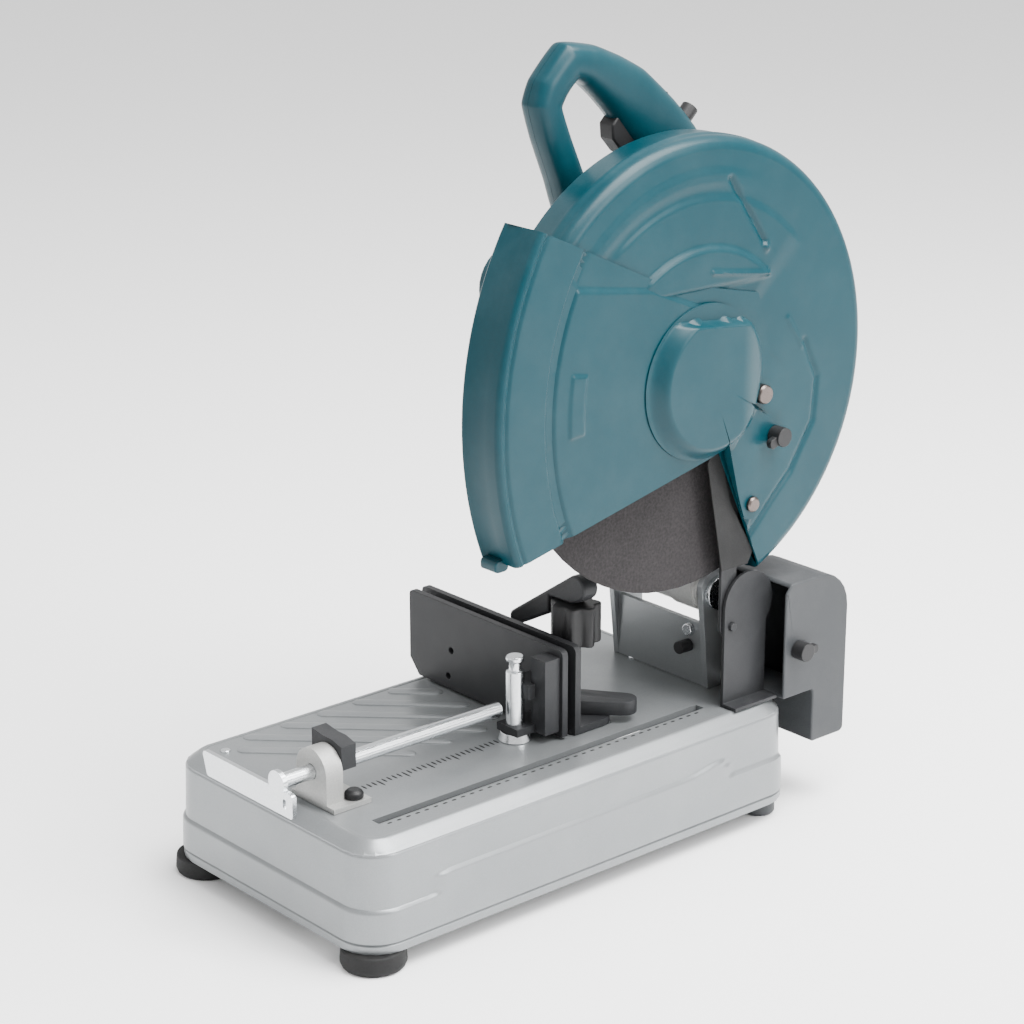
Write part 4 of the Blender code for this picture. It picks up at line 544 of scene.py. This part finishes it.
def makeCaseRim():
    # a profile of (radius, x) turned round the spindle from the wedge's edge to the front edge
    c = wheelCase
    back, out, w = -c["depth"], c["radius"], c["wall"]
    outside, inside = foldedEdge(out, 0.0, c["fillet"], w, 9)
    rim = np.array([(out, -14.0), (out + 0.9, -16.0), (out + 0.9, -20.0), (out, -22.0), (out, back + 2),
                    (out - 0.6, back + 0.6), (out - 2, back), (150, back), (110, back), (70, back),
                    (46, back), (46, back + w), (80, back + w), (130, back + w), (out - w, back + w)])
    profile = np.concatenate([outside, rim, inside])
    start = lineAngle(profile[:, 0], c["apex"], c["low"])
    end = np.full(len(profile), math.radians(c["frontAngle"]))
    shares = np.linspace(0, 1, c["rimSteps"])
    angles = start[None, :] + (end - start)[None, :] * shares[:, None]
    y, z = profile[None, :, 0] * np.cos(angles), profile[None, :, 0] * np.sin(angles)
    points = closeEnds(stand(y, z, caseFace + profile[None, :, 1] * mm, spindle), 4)
    makePiece("wheel-case-rim", [(points, False, True)], "head", "teal_paint", ["wheel_case"])


makeCaseFace()
makeCaseRim()
print("wheel case done")


# retracting guard

guard = {"arc": (74.0, -6.0), "radius": 288.0, "fillet": 5.0, "step": 238.0, "rise": 3.5,
         "wall": 2.0, "lip": 5.0, "topAngle": 148.8, "lowAngle": 200.6, "hub": 31.0, "apex": (20.0, -63.0),
         "upper": [(62.0, 62.0), (-48.0, 87.0), (-58.0, 92.0)],
         "panel": [(-124.0, 110.0), (-56.0, 82.0), (30.0, 68.0)],
         "panelRise": 1.8, "panelFade": 5, "panelEnd": 36, "panelEndFade": 30, "stepFade": 4,
         "tab": {"rise": 1.3, "from": 199, "to": 217, "fade": 3, "start": 170, "end": 184, "endFade": 0.9},
         "lines": [(2.0, 2.4, 1.2), (42.5, 1.8, 1.3)],        # sunk rings: mm from the step, width, depth
         "columns": (96, 18, 44), "backColumns": 10, "rimSteps": 150,
         "lug": {"shift": (-5, -2), "half": (7, 5), "square": 0.6}}
guardBack = low("retracting_guard")[0]
guardSheet = jointPoint("guard_swing")[0] + 2 * mm


def guardEdges(radius):
    # where the guard's lower and upper edges meet a circle round its arc's centre, as points round the spindle
    g = guard
    centre = np.array(g["arc"])
    ends = []
    for angle, near in ((g["lowAngle"], g["apex"]), (g["topAngle"], g["upper"][-1])):
        way = np.array([math.cos(math.radians(angle)), math.sin(math.radians(angle))])
        far = centre + (g["radius"] + 20) * way
        a = np.array(near, float) - centre
        d = far - np.array(near)
        d = d / np.hypot(*d)
        t = -(a @ d) + np.sqrt((a @ d) ** 2 - a @ a + np.asarray(radius) ** 2)
        ends.append(a[None, :] + np.atleast_1d(t)[:, None] * d[None, :] + centre)
    return ends


def guardHeight(y, z):
    # mm above the inner sheet: a raised outer band, a panel under the upper edge, a tab, two sunk rings
    g = guard
    tab = g["tab"]
    away = np.hypot(y - g["arc"][0], z - g["arc"][1])
    around = np.degrees(np.arctan2(z - g["arc"][1], y - g["arc"][0])) % 360
    band = smooth((away - g["step"]) / g["stepFade"])
    left, middlePoint, right = g["panel"]
    under = np.minimum(belowLine(y, z, middlePoint, left) * -1, belowLine(y, z, middlePoint, right))
    panel = smooth(under / g["panelFade"] + 0.5) * smooth((g["step"] - 5 - away) / g["stepFade"])
    panel = panel * smooth((g["panelEnd"] - y) / g["panelEndFade"])
    (inAt, inWidth, inDepth), (outAt, outWidth, outDepth) = g["lines"]
    h = g["rise"] * band + g["panelRise"] * panel
    h -= inDepth * np.exp(-((away - g["step"] + inAt) / inWidth) ** 2)
    start, end = around - tab["start"], tab["end"] - around
    raised = smooth((away - tab["from"]) / tab["fade"]) * smooth((tab["to"] - away) / tab["fade"])
    raised = raised * smooth(start / tab["endFade"]) * smooth(end / tab["endFade"])
    h += tab["rise"] * raised * (1 - band)
    h -= outDepth * np.exp(-((away - (g["step"] + outAt)) / outWidth) ** 2)
    return h


def guardOutline():
    # round the face: apex, lower edge, arc, upper edge, rear corner, hub; angle and distance from the spindle
    g = guard
    inner = g["radius"] - g["fillet"]
    lowEnd, topEnd = (e[0] for e in guardEdges(inner))
    a0, a1 = (math.degrees(math.atan2(e[1] - g["arc"][1], e[0] - g["arc"][0])) % 360 for e in (lowEnd, topEnd))
    hub = arcPoints(guardHub, g["hub"], 70, -95, 40)
    parts = [alongPath([g["apex"], lowEnd], np.linspace(0, 1, 90)), arcPoints(g["arc"], inner, a0, a1, 150),
             alongPath([topEnd] + g["upper"][::-1] + [hub[0]], np.linspace(0, 1, 150)), hub,
             alongPath([hub[-1], g["apex"]], np.linspace(0, 1, 24))]
    points = np.concatenate([part[:-1] for part in parts])
    return np.arctan2(points[:, 1], points[:, 0]), np.hypot(points[:, 0], points[:, 1])


def makeGuardFace():
    # radius goes from the access hole to the outline, with extra columns across the step at its own circle
    g = guard
    angles, reach = guardOutline()
    toStep = []
    for radius in (g["step"] - 4, g["step"] + 6):
        along = np.cos(angles) * g["arc"][0] + np.sin(angles) * g["arc"][1]
        toStep.append(along + np.sqrt(np.maximum(along ** 2 - np.hypot(*g["arc"]) ** 2 + radius ** 2, 0)))
    first, second = np.minimum(toStep[0], reach * 0.90), np.minimum(toStep[1], reach * 0.96)
    hole = 0 * reach + wheelCase["hole"]
    marks = np.stack([hole, first, second, reach, reach, hole], axis=1)
    toFirst, toSecond, toEdge = g["columns"]
    back = g["backColumns"]
    columns = np.concatenate([np.linspace(0, 1, toFirst, endpoint=False),
                              np.linspace(1, 2, toSecond, endpoint=False),
                              np.linspace(2, 3, toEdge), [3.0], [4.0], np.linspace(4, 5, back)])
    drop = np.concatenate([np.zeros(sum(g["columns"])), [0.7], [g["wall"] - 0.3], np.full(back, g["wall"])])
    span = np.clip(np.floor(columns).astype(int), 0, 4)
    share = columns - span
    r = marks[:, span] * (1 - share) + marks[:, span + 1] * share
    y, z = r * np.cos(angles)[:, None], r * np.sin(angles)[:, None]
    x = guardSheet + (guardHeight(y, z) - drop[None, :]) * mm
    points = stand(y, z, x, spindle)
    makePiece("guard-face", [(points, True, True)], "guard", "teal_paint", ["retracting_guard"], flip=True)


def makeGuardRim():
    # a profile of (radius, x) turned round the arc's centre, between the lower and the upper edge
    g = guard
    out, w = g["radius"], g["wall"]
    back = (guardBack - guardSheet) / mm
    outside, inside = foldedEdge(out, g["rise"], g["fillet"], w, 8)
    rim = np.array([(out, -12.0), (out, back + 6), (out + 1.2, back + 4), (out + 1.4, back + 2), (out, back),
                    (out - g["lip"], back), (out - g["lip"], back + w), (out - w, back + w + 1)])
    profile = np.concatenate([outside, rim, inside])
    lowEnds, topEnds = guardEdges(profile[:, 0])
    centre = np.array(g["arc"])
    a0 = np.arctan2(*(lowEnds - centre).T[::-1]) % turn
    a1 = np.arctan2(*(topEnds - centre).T[::-1]) % turn
    angles = a0 + (a1 - a0) * np.linspace(0, 1, g["rimSteps"])[:, None]
    y, z = centre[0] + profile[:, 0] * np.cos(angles), centre[1] + profile[:, 0] * np.sin(angles)
    points = closeEnds(stand(y, z, guardSheet + profile[:, 1] * mm, spindle), 4)
    makePiece("guard-rim", [(points, False, True)], "guard", "teal_paint", ["retracting_guard"], flip=True)


def makeGuardLug():
    # a thick little tab hanging from the low end of the rim: rounded outline, rings of it from back to front
    g, lug = guard, guard["lug"]
    lowEnd = guardEdges(g["radius"] - 3)[0][0]
    phi = np.linspace(0, turn, 28, endpoint=False)
    across, up = (np.sign(wave) * np.abs(wave) ** lug["square"] for wave in (np.cos(phi), np.sin(phi)))
    sizes = np.array([0, 0.85, 1, 1, 0.85, 0])[:, None]
    depth = np.array([-30, -30, -29, -13, -12, -12])[:, None]
    y = lowEnd[0] + lug["shift"][0] + lug["half"][0] * across[None, :] * sizes
    z = lowEnd[1] + lug["shift"][1] + lug["half"][1] * up[None, :] * sizes
    x = guardSheet + (depth + 0 * z) * mm
    makePiece("guard-lug", [(stand(y, z, x, spindle), False, True)], "guard", "teal_paint")


guardHub = (guardPivot - spindle) / mm
makeGuardFace()
makeGuardRim()
makeGuardLug()
print("guard done")


# centre cover

cover = {"radius": 63.0, "rise": 10.5, "wall": 2.0, "lobe": 13.0, "lowCorner": (30.0, -30.0),
         "top": [(-38.0, 54.0), (60.0, 43.0)], "topFade": 4, "plate": 66, "plateShift": 6, "plateFade": 14,
         "rear": 78, "rearFade": 45, "rounds": 360, "columns": 109, "backColumns": 10}
coverFront = low("centre_cover")[0] + 2 * mm


def coverHeight(y, z):
    # mm above the flange: a plate with a straight upper edge and a broad flank bent round its front
    c = cover
    front = smooth((c["plate"] - np.hypot(y - c["plateShift"], z)) / c["plateFade"])
    top = smooth(belowLine(y, z, *c["top"]) / c["topFade"])
    rear = smooth((c["rear"] - y) / c["rearFade"])
    return c["rise"] * front * top * rear


def makeCover():
    # radius is a share of the way to the outline: the plate's circle joined to three round lobes
    c = cover
    hinge = (coverHinge - spindle) / mm
    wing = (jointPoint("cover_bolt_turn")[1:] - spindle) / mm
    angles = np.linspace(0, turn, c["rounds"], endpoint=False)
    lobes = [(hinge, c["lobe"]), (wing, c["lobe"]), (np.array(c["lowCorner"]), c["lobe"] + 1)]
    reach = np.full(angles.shape, c["radius"])
    for (p, pr), (q, qr) in zip(lobes, lobes[1:] + lobes[:1]):
        for share in np.linspace(0, 1, 40):
            at, size = p + (q - p) * share, pr + (qr - pr) * share
            along = at[0] * np.cos(angles) + at[1] * np.sin(angles)
            inside = size ** 2 - at @ at + along ** 2
            far = along + np.sqrt(np.maximum(inside, 0))
            reach = np.where((inside > 0) & (along > 0), np.maximum(reach, far), reach)
    outwards, inwards = np.linspace(0.06, 1, c["columns"]), np.linspace(1, 0, c["backColumns"])
    shares = np.concatenate([[0], outwards, [1.0], inwards])
    drop = np.concatenate([np.zeros(c["columns"] + 1), [0.6], np.full(c["backColumns"], c["wall"])])
    r = reach[:, None] * shares[None, :]
    y, z = r * np.cos(angles)[:, None], r * np.sin(angles)[:, None]
    x = coverFront + (coverHeight(y, z) - drop[None, :]) * mm
    points = stand(y, z, x, spindle)
    makePiece("centre-cover-shell", [(points, True, False)], "cover", "teal_paint", ["centre_cover"])


makeCover()
print("centre cover done")


# handle

handle = {"half": 14.0, "gap": 0.15, "square": 2.7, "pull": 0.22, "steps": 12,
          "stations": [((-76, 126), (-48, 140)), ((-88, 158), (-59, 164)), ((-102, 192), (-71, 190)),
                       ((-110, 219), (-81, 215)), ((-103, 238), (-74, 226)), ((-77, 263), (-66, 233)),
                       ((-46, 259), (-56, 229)), ((-18, 248), (-42, 217)), ((7, 235), (-28, 203)),
                       ((39, 209), (-12, 184)), ((64, 184), (4, 166)), ((82, 158), (8, 151)),
                       ((86, 126), (4, 139)), ((70, 98), (-8, 132)), ((24, 84), (-22, 132)),
                       ((-38, 84), (-34, 133))]}


def closedCurve(points, steps, pull):
    # a closed curve through the points with a tight cardinal spline, steps to each stretch
    p = np.asarray(points, float)
    t = (np.arange(steps) / steps)[None, :, None]
    a, b, c, d = (np.roll(p, k, axis=0)[:, None] for k in (1, 0, -1, -2))
    out = (b + pull * (c - a) * t + (2 * pull * a + (pull - 3) * b + (3 - 2 * pull) * c - pull * d) * t ** 2
           + (-pull * a + (2 - pull) * b + (pull - 2) * c + pull * d) * t ** 3)
    return out.reshape(-1, p.shape[1])


def makeHandle():
    # half of a rounded-square section between the outer and the inner outline, carried round the loop
    h = handle
    outer, inner = (closedCurve(points, h["steps"], h["pull"]) for points in zip(*h["stations"]))
    centreLine, across = (outer + inner) / 2, (outer - inner) / 2
    x0 = (low("handle_left")[0] + high("handle_right")[0]) / 2
    for side, name in ((-1, "left"), (1, "right")):
        phi = np.linspace(0, math.pi, 22)
        bulge = np.sign(np.cos(phi)) * np.abs(np.cos(phi)) ** (2 / h["square"])
        out = np.sin(phi) ** (2 / h["square"])
        flat = centreLine[:, None] + across[:, None] * bulge[None, :, None]
        x = x0 + side * (h["gap"] + (h["half"] - h["gap"]) * out[None, :]) * mm
        points = stand(flat[..., 0], flat[..., 1], x + 0 * flat[..., 0], spindle)
        makePiece("handle-shell-" + name, [(points, True, True)], "head", "teal_paint", ["handle_" + name],
                  flip=side > 0)


makeHandle()
print("handle done")


# base and table

pressed = {"corner": 32.0, "skin": 0.5, "sideInset": 1.5, "lean": 2.3, "leanOver": 70, "edgeDrop": 8.0,
           "ledge": {"rise": 2.3, "fade": 2.4, "line": 50, "from": -205, "to": 112, "endFade": 8, "up": 16,
                     "rear": 60, "rearFade": 40, "rearUp": 5, "half": 118, "halfFade": 6},
           # inset and height of each ring: flange and inside from the foot, edge from the table's top
           "flange": [(1.5, 0.3), (-0.2, 0.8), (-0.5, 2), (-0.5, 6.4), (0.2, 7.2), (1.0, 7.8)],
           "edge": [(4.1, -9.0), (4.6, -8.0), (5.6, -6.9), (8.0, -5.0), (11.0, -2.6), (13.4, -0.9),
                    (14.6, -0.1), (15.8, 0.35), (17.4, 0.5), (19.0, 0.3), (19.0, -1.2), (6.5, -12.0)],
           "inside": [(4.5, 8), (3.0, 4)]}


def cornerPath(inset, count):
    # the base's rounded rectangle drawn in by inset (mm), as points and outward directions going round
    lo, hi = low("base")[:2] / mm, high("base")[:2] / mm
    radius = pressed["corner"] - inset
    arcs = []
    starts = (((hi[0], hi[1]), 0), ((lo[0], hi[1]), 90), ((lo[0], lo[1]), 180), ((hi[0], lo[1]), 270))
    for (x, y), start in starts:
        cx = x - pressed["corner"] * (1 if x > 0 else -1)
        cy = y - pressed["corner"] * (1 if y == hi[1] else -1)
        angle = np.radians(start + np.linspace(0, 90, 20))
        way = [np.cos(angle), np.sin(angle)]
        arcs.append(np.stack([cx + radius * way[0], cy + radius * way[1], *way], axis=1))
    ring = np.concatenate(arcs + [arcs[0][:1]])
    pieces = []
    for a, b in zip(ring[:-1], ring[1:]):
        isSide = np.hypot(*(b - a)[:2]) > 15
        t = np.linspace(0, 1, count if isSide else 1, endpoint=False)[:, None]
        pieces.append(a + (b - a) * t)
    return np.concatenate(pieces)


def ledgeHeight(x, y, z):
    # mm pushed out below a line that steps up along each long side
    p = pressed["ledge"]
    along = smooth((y - p["from"]) / p["endFade"]) * smooth((p["to"] - y) / p["endFade"])
    side = smooth((np.abs(x + 1.5) - p["half"]) / p["halfFade"])
    line = p["line"] + (p["up"] * along + p["rearUp"] * smooth((y - p["rear"]) / p["rearFade"])) * side
    return p["rise"] * smooth((line + 2.2 - z) / p["fade"])


def makeBaseSkin():
    # (inset, height) profile carried round the base: flange, side with its ledge, rounded edge, inner wall
    p = pressed
    foot = low("base")[2] / mm
    top = tableTop / mm
    levels = [(inset, foot + height) for inset, height in p["flange"]]
    side = np.linspace(foot + 9, top - p["edgeDrop"] - 2, 52)
    levels += [(p["sideInset"] + p["lean"] * (h - foot - 8) / p["leanOver"] - p["skin"], h) for h in side]
    levels += [(inset, top + height) for inset, height in p["edge"]]
    levels += [(inset, foot + height) for inset, height in p["inside"]]
    rows = []
    for inset, height in levels:
        ring = cornerPath(inset, 70)
        onSide = foot + 8.5 < height < top - 9.5 and inset < 4.4
        push = ledgeHeight(ring[:, 0], ring[:, 1], height) if onSide else 0
        rows.append(np.stack([ring[:, 0] + ring[:, 2] * push, ring[:, 1] + ring[:, 3] * push,
                              height + 0 * ring[:, 0]], axis=1))
    makePiece("base-skin", [(np.array(rows) * mm, True, True)], "base", "silver_paint", sharp=40)


# mm on the table: where the ribs start and must end, the two rows of strokes, and the screw heads
tableMarks = {"ribStart": (-110.0, -60.0), "ribFront": -228, "ribRight": 8, "ribBack": -26, "ribShortest": 25,
              "ribs": range(-1, 6), "ribPitch": 37.3, "ribWidth": 6.2, "ribRise": 1.8, "ribTilt": 46.0,
              "scale": {"left": 27.5, "right": 35.5, "longRight": 39.5, "from": -206, "to": -52, "pitch": 5.0,
                        "width": 1.0, "rise": 0.4},
              "dashes": {"x": 95.2, "length": 5.0, "from": -224, "to": 108, "pitch": 9.0,
                         "width": 1.1, "rise": 0.45},
              "screws": ((57.0, 22.0), (-84.0, -10.0), (-96.0, -236.0), (-30.0, 150.0)),
              "screwRadius": 4.2, "screwRise": 1.6, "sunk": 0.1}


def bar(start, end, width, rise, ground, sides=9, steps=14):
    # a low ridge between two points of the table: half-round across, ends drawn in
    start, end = np.array(start, float), np.array(end, float)
    d = (end - start) / np.hypot(*(end - start))
    across = np.array([-d[1], d[0]])
    t = np.concatenate([[0], 0.5 - 0.5 * np.cos(np.linspace(0.15, math.pi - 0.15, steps)), [1]])
    length = np.hypot(*(end - start))
    fromEnd = np.minimum(t, 1 - t) * length
    full = np.sqrt(np.clip(1 - (1 - np.clip(fromEnd / width, 0, 1)) ** 2, 0, 1))
    phi = np.linspace(0, math.pi, sides)
    flat = start + np.outer(t * length, d)
    x = flat[:, None, 0] + across[0] * width * np.cos(phi) * full[:, None]
    y = flat[:, None, 1] + across[1] * width * np.cos(phi) * full[:, None]
    z = ground + rise * np.sin(phi)[None, :] ** 0.7 * full[:, None]
    under = np.stack([x, y, ground - 0.8 + 0 * z], axis=-1)[:, ::-1]
    return np.concatenate([np.stack([x, y, z], axis=-1), under], axis=1) * mm


def makeTableMarks():
    # diagonal ribs on the left half, scale strokes beside the screw, short dashes along the blade slot
    p, ground = tableMarks, tableTop / mm - tableMarks["sunk"]
    tilt = math.radians(p["ribTilt"])
    step = np.array([math.cos(tilt), math.sin(tilt)])
    grids = []
    for k in p["ribs"]:
        start = np.array([p["ribStart"][0], p["ribStart"][1] - p["ribPitch"] * k])
        if start[1] < p["ribFront"]:
            start += step * (p["ribFront"] - start[1]) / step[1]
        reach = min((p["ribRight"] - start[0]) / step[0], (p["ribBack"] - start[1]) / step[1])
        if reach > p["ribShortest"]:
            grids.append((bar(start, start + step * reach, p["ribWidth"], p["ribRise"], ground), False, True))
    makePiece("table-ribs", grids, "base", "silver_paint")
    s = p["scale"]
    grids = []
    for k, y in enumerate(np.arange(s["from"], s["to"], s["pitch"])):
        right = s["right"] if k % 5 else s["longRight"]        # every fifth stroke is longer
        grids.append((bar((s["left"], y), (right, y), s["width"], s["rise"], ground, 5, 4), False, True))
    makePiece("table-scale", grids, "base", "black_plastic")
    d = p["dashes"]
    grids = [(bar((d["x"], y), (d["x"], y + d["length"]), d["width"], d["rise"], ground, 5, 4), False, True)
             for y in np.arange(d["from"], d["to"], d["pitch"])]
    makePiece("slot-dashes", grids, "base", "black_plastic")


def bead(x, y, radius, rise, ground, sides=28):
    # a low round head on the table: radius falls and height rises along a quarter turn
    t = np.linspace(0, math.pi / 2, 7)
    top = ground + rise
    r = np.concatenate([[radius], radius * (0.7 + 0.3 * np.cos(t)), [0.35 * radius, 0]])
    z = np.concatenate([[ground - 0.5], ground + rise * (0.25 + 0.75 * np.sin(t)), [top, top]])
    phi = np.linspace(0, turn, sides, endpoint=False)[:, None]
    return np.stack([x + r * np.cos(phi), y + r * np.sin(phi), z + 0 * phi], axis=-1) * mm


def makeTableScrews():
    # a bead at each screw's place
    p = tableMarks
    radius, rise = p["screwRadius"], p["screwRise"]
    heads = [(bead(x, y, radius, rise, tableTop / mm), True, False) for x, y in p["screws"]]
    makePiece("table-screws", heads, "base", "zinc")


makeBaseSkin()
makeTableMarks()
makeTableScrews()
print("base done")


# every other node in view, with its edges rounded

softened = {
    "foot_front_left": 1.6, "foot_front_right": 1.6, "foot_rear_left": 1.0, "foot_rear_right": 1.0,
    "rear_bracket": 0.9, "side_plate": 0.7, "spark_guard": 1.4, "gear_housing": 1.8, "gear_cover": 0.8,
    "motor_housing": 1.2, "motor_end_cover": 1.5, "vise_bracket": 1.2, "bracket_bolt": 0.8,
    "vise_clasp": 1.2, "vise_crank": 0.7, "vise_screw": 0.5, "vise_post": 0.5, "vise_head": 0.9,
    "vise_plate": 0.7, "guide_plate": 0.7, "table_lever": 2.2, "clamp_lever": 2.4, "star_knob": 1.3,
    "clamp_stud": 0.4, "guard_link": 0.5, "trigger": 1.6, "lock_off_button": 0.7, "cord_gland": 0.8,
    "brush_cap_front": 0.6, "brush_cap_rear": 0.6, "shaft_lock_button": 0.6, "guard_pivot_bolt": 0.5,
    "cover_hinge_screw": 0.5, "cover_wing_bolt": 1.0, "spark_guard_wing_bolt": 1.0, "stop_bolt": 0.5,
    # chip_deflector is a black plate that stands for painted shade: the guard's shadow on the wheel
    "lock_pin": 0.5, "chip_deflector": 0.3, "outer_flange": 0.5, "inner_flange": 0.5,
    "spindle_bolt": 0.5, "pivot_shaft": 0.6}
for node, width in softened.items():
    softenNode(node, width * mm)
print("softened", len(softened), "nodes")
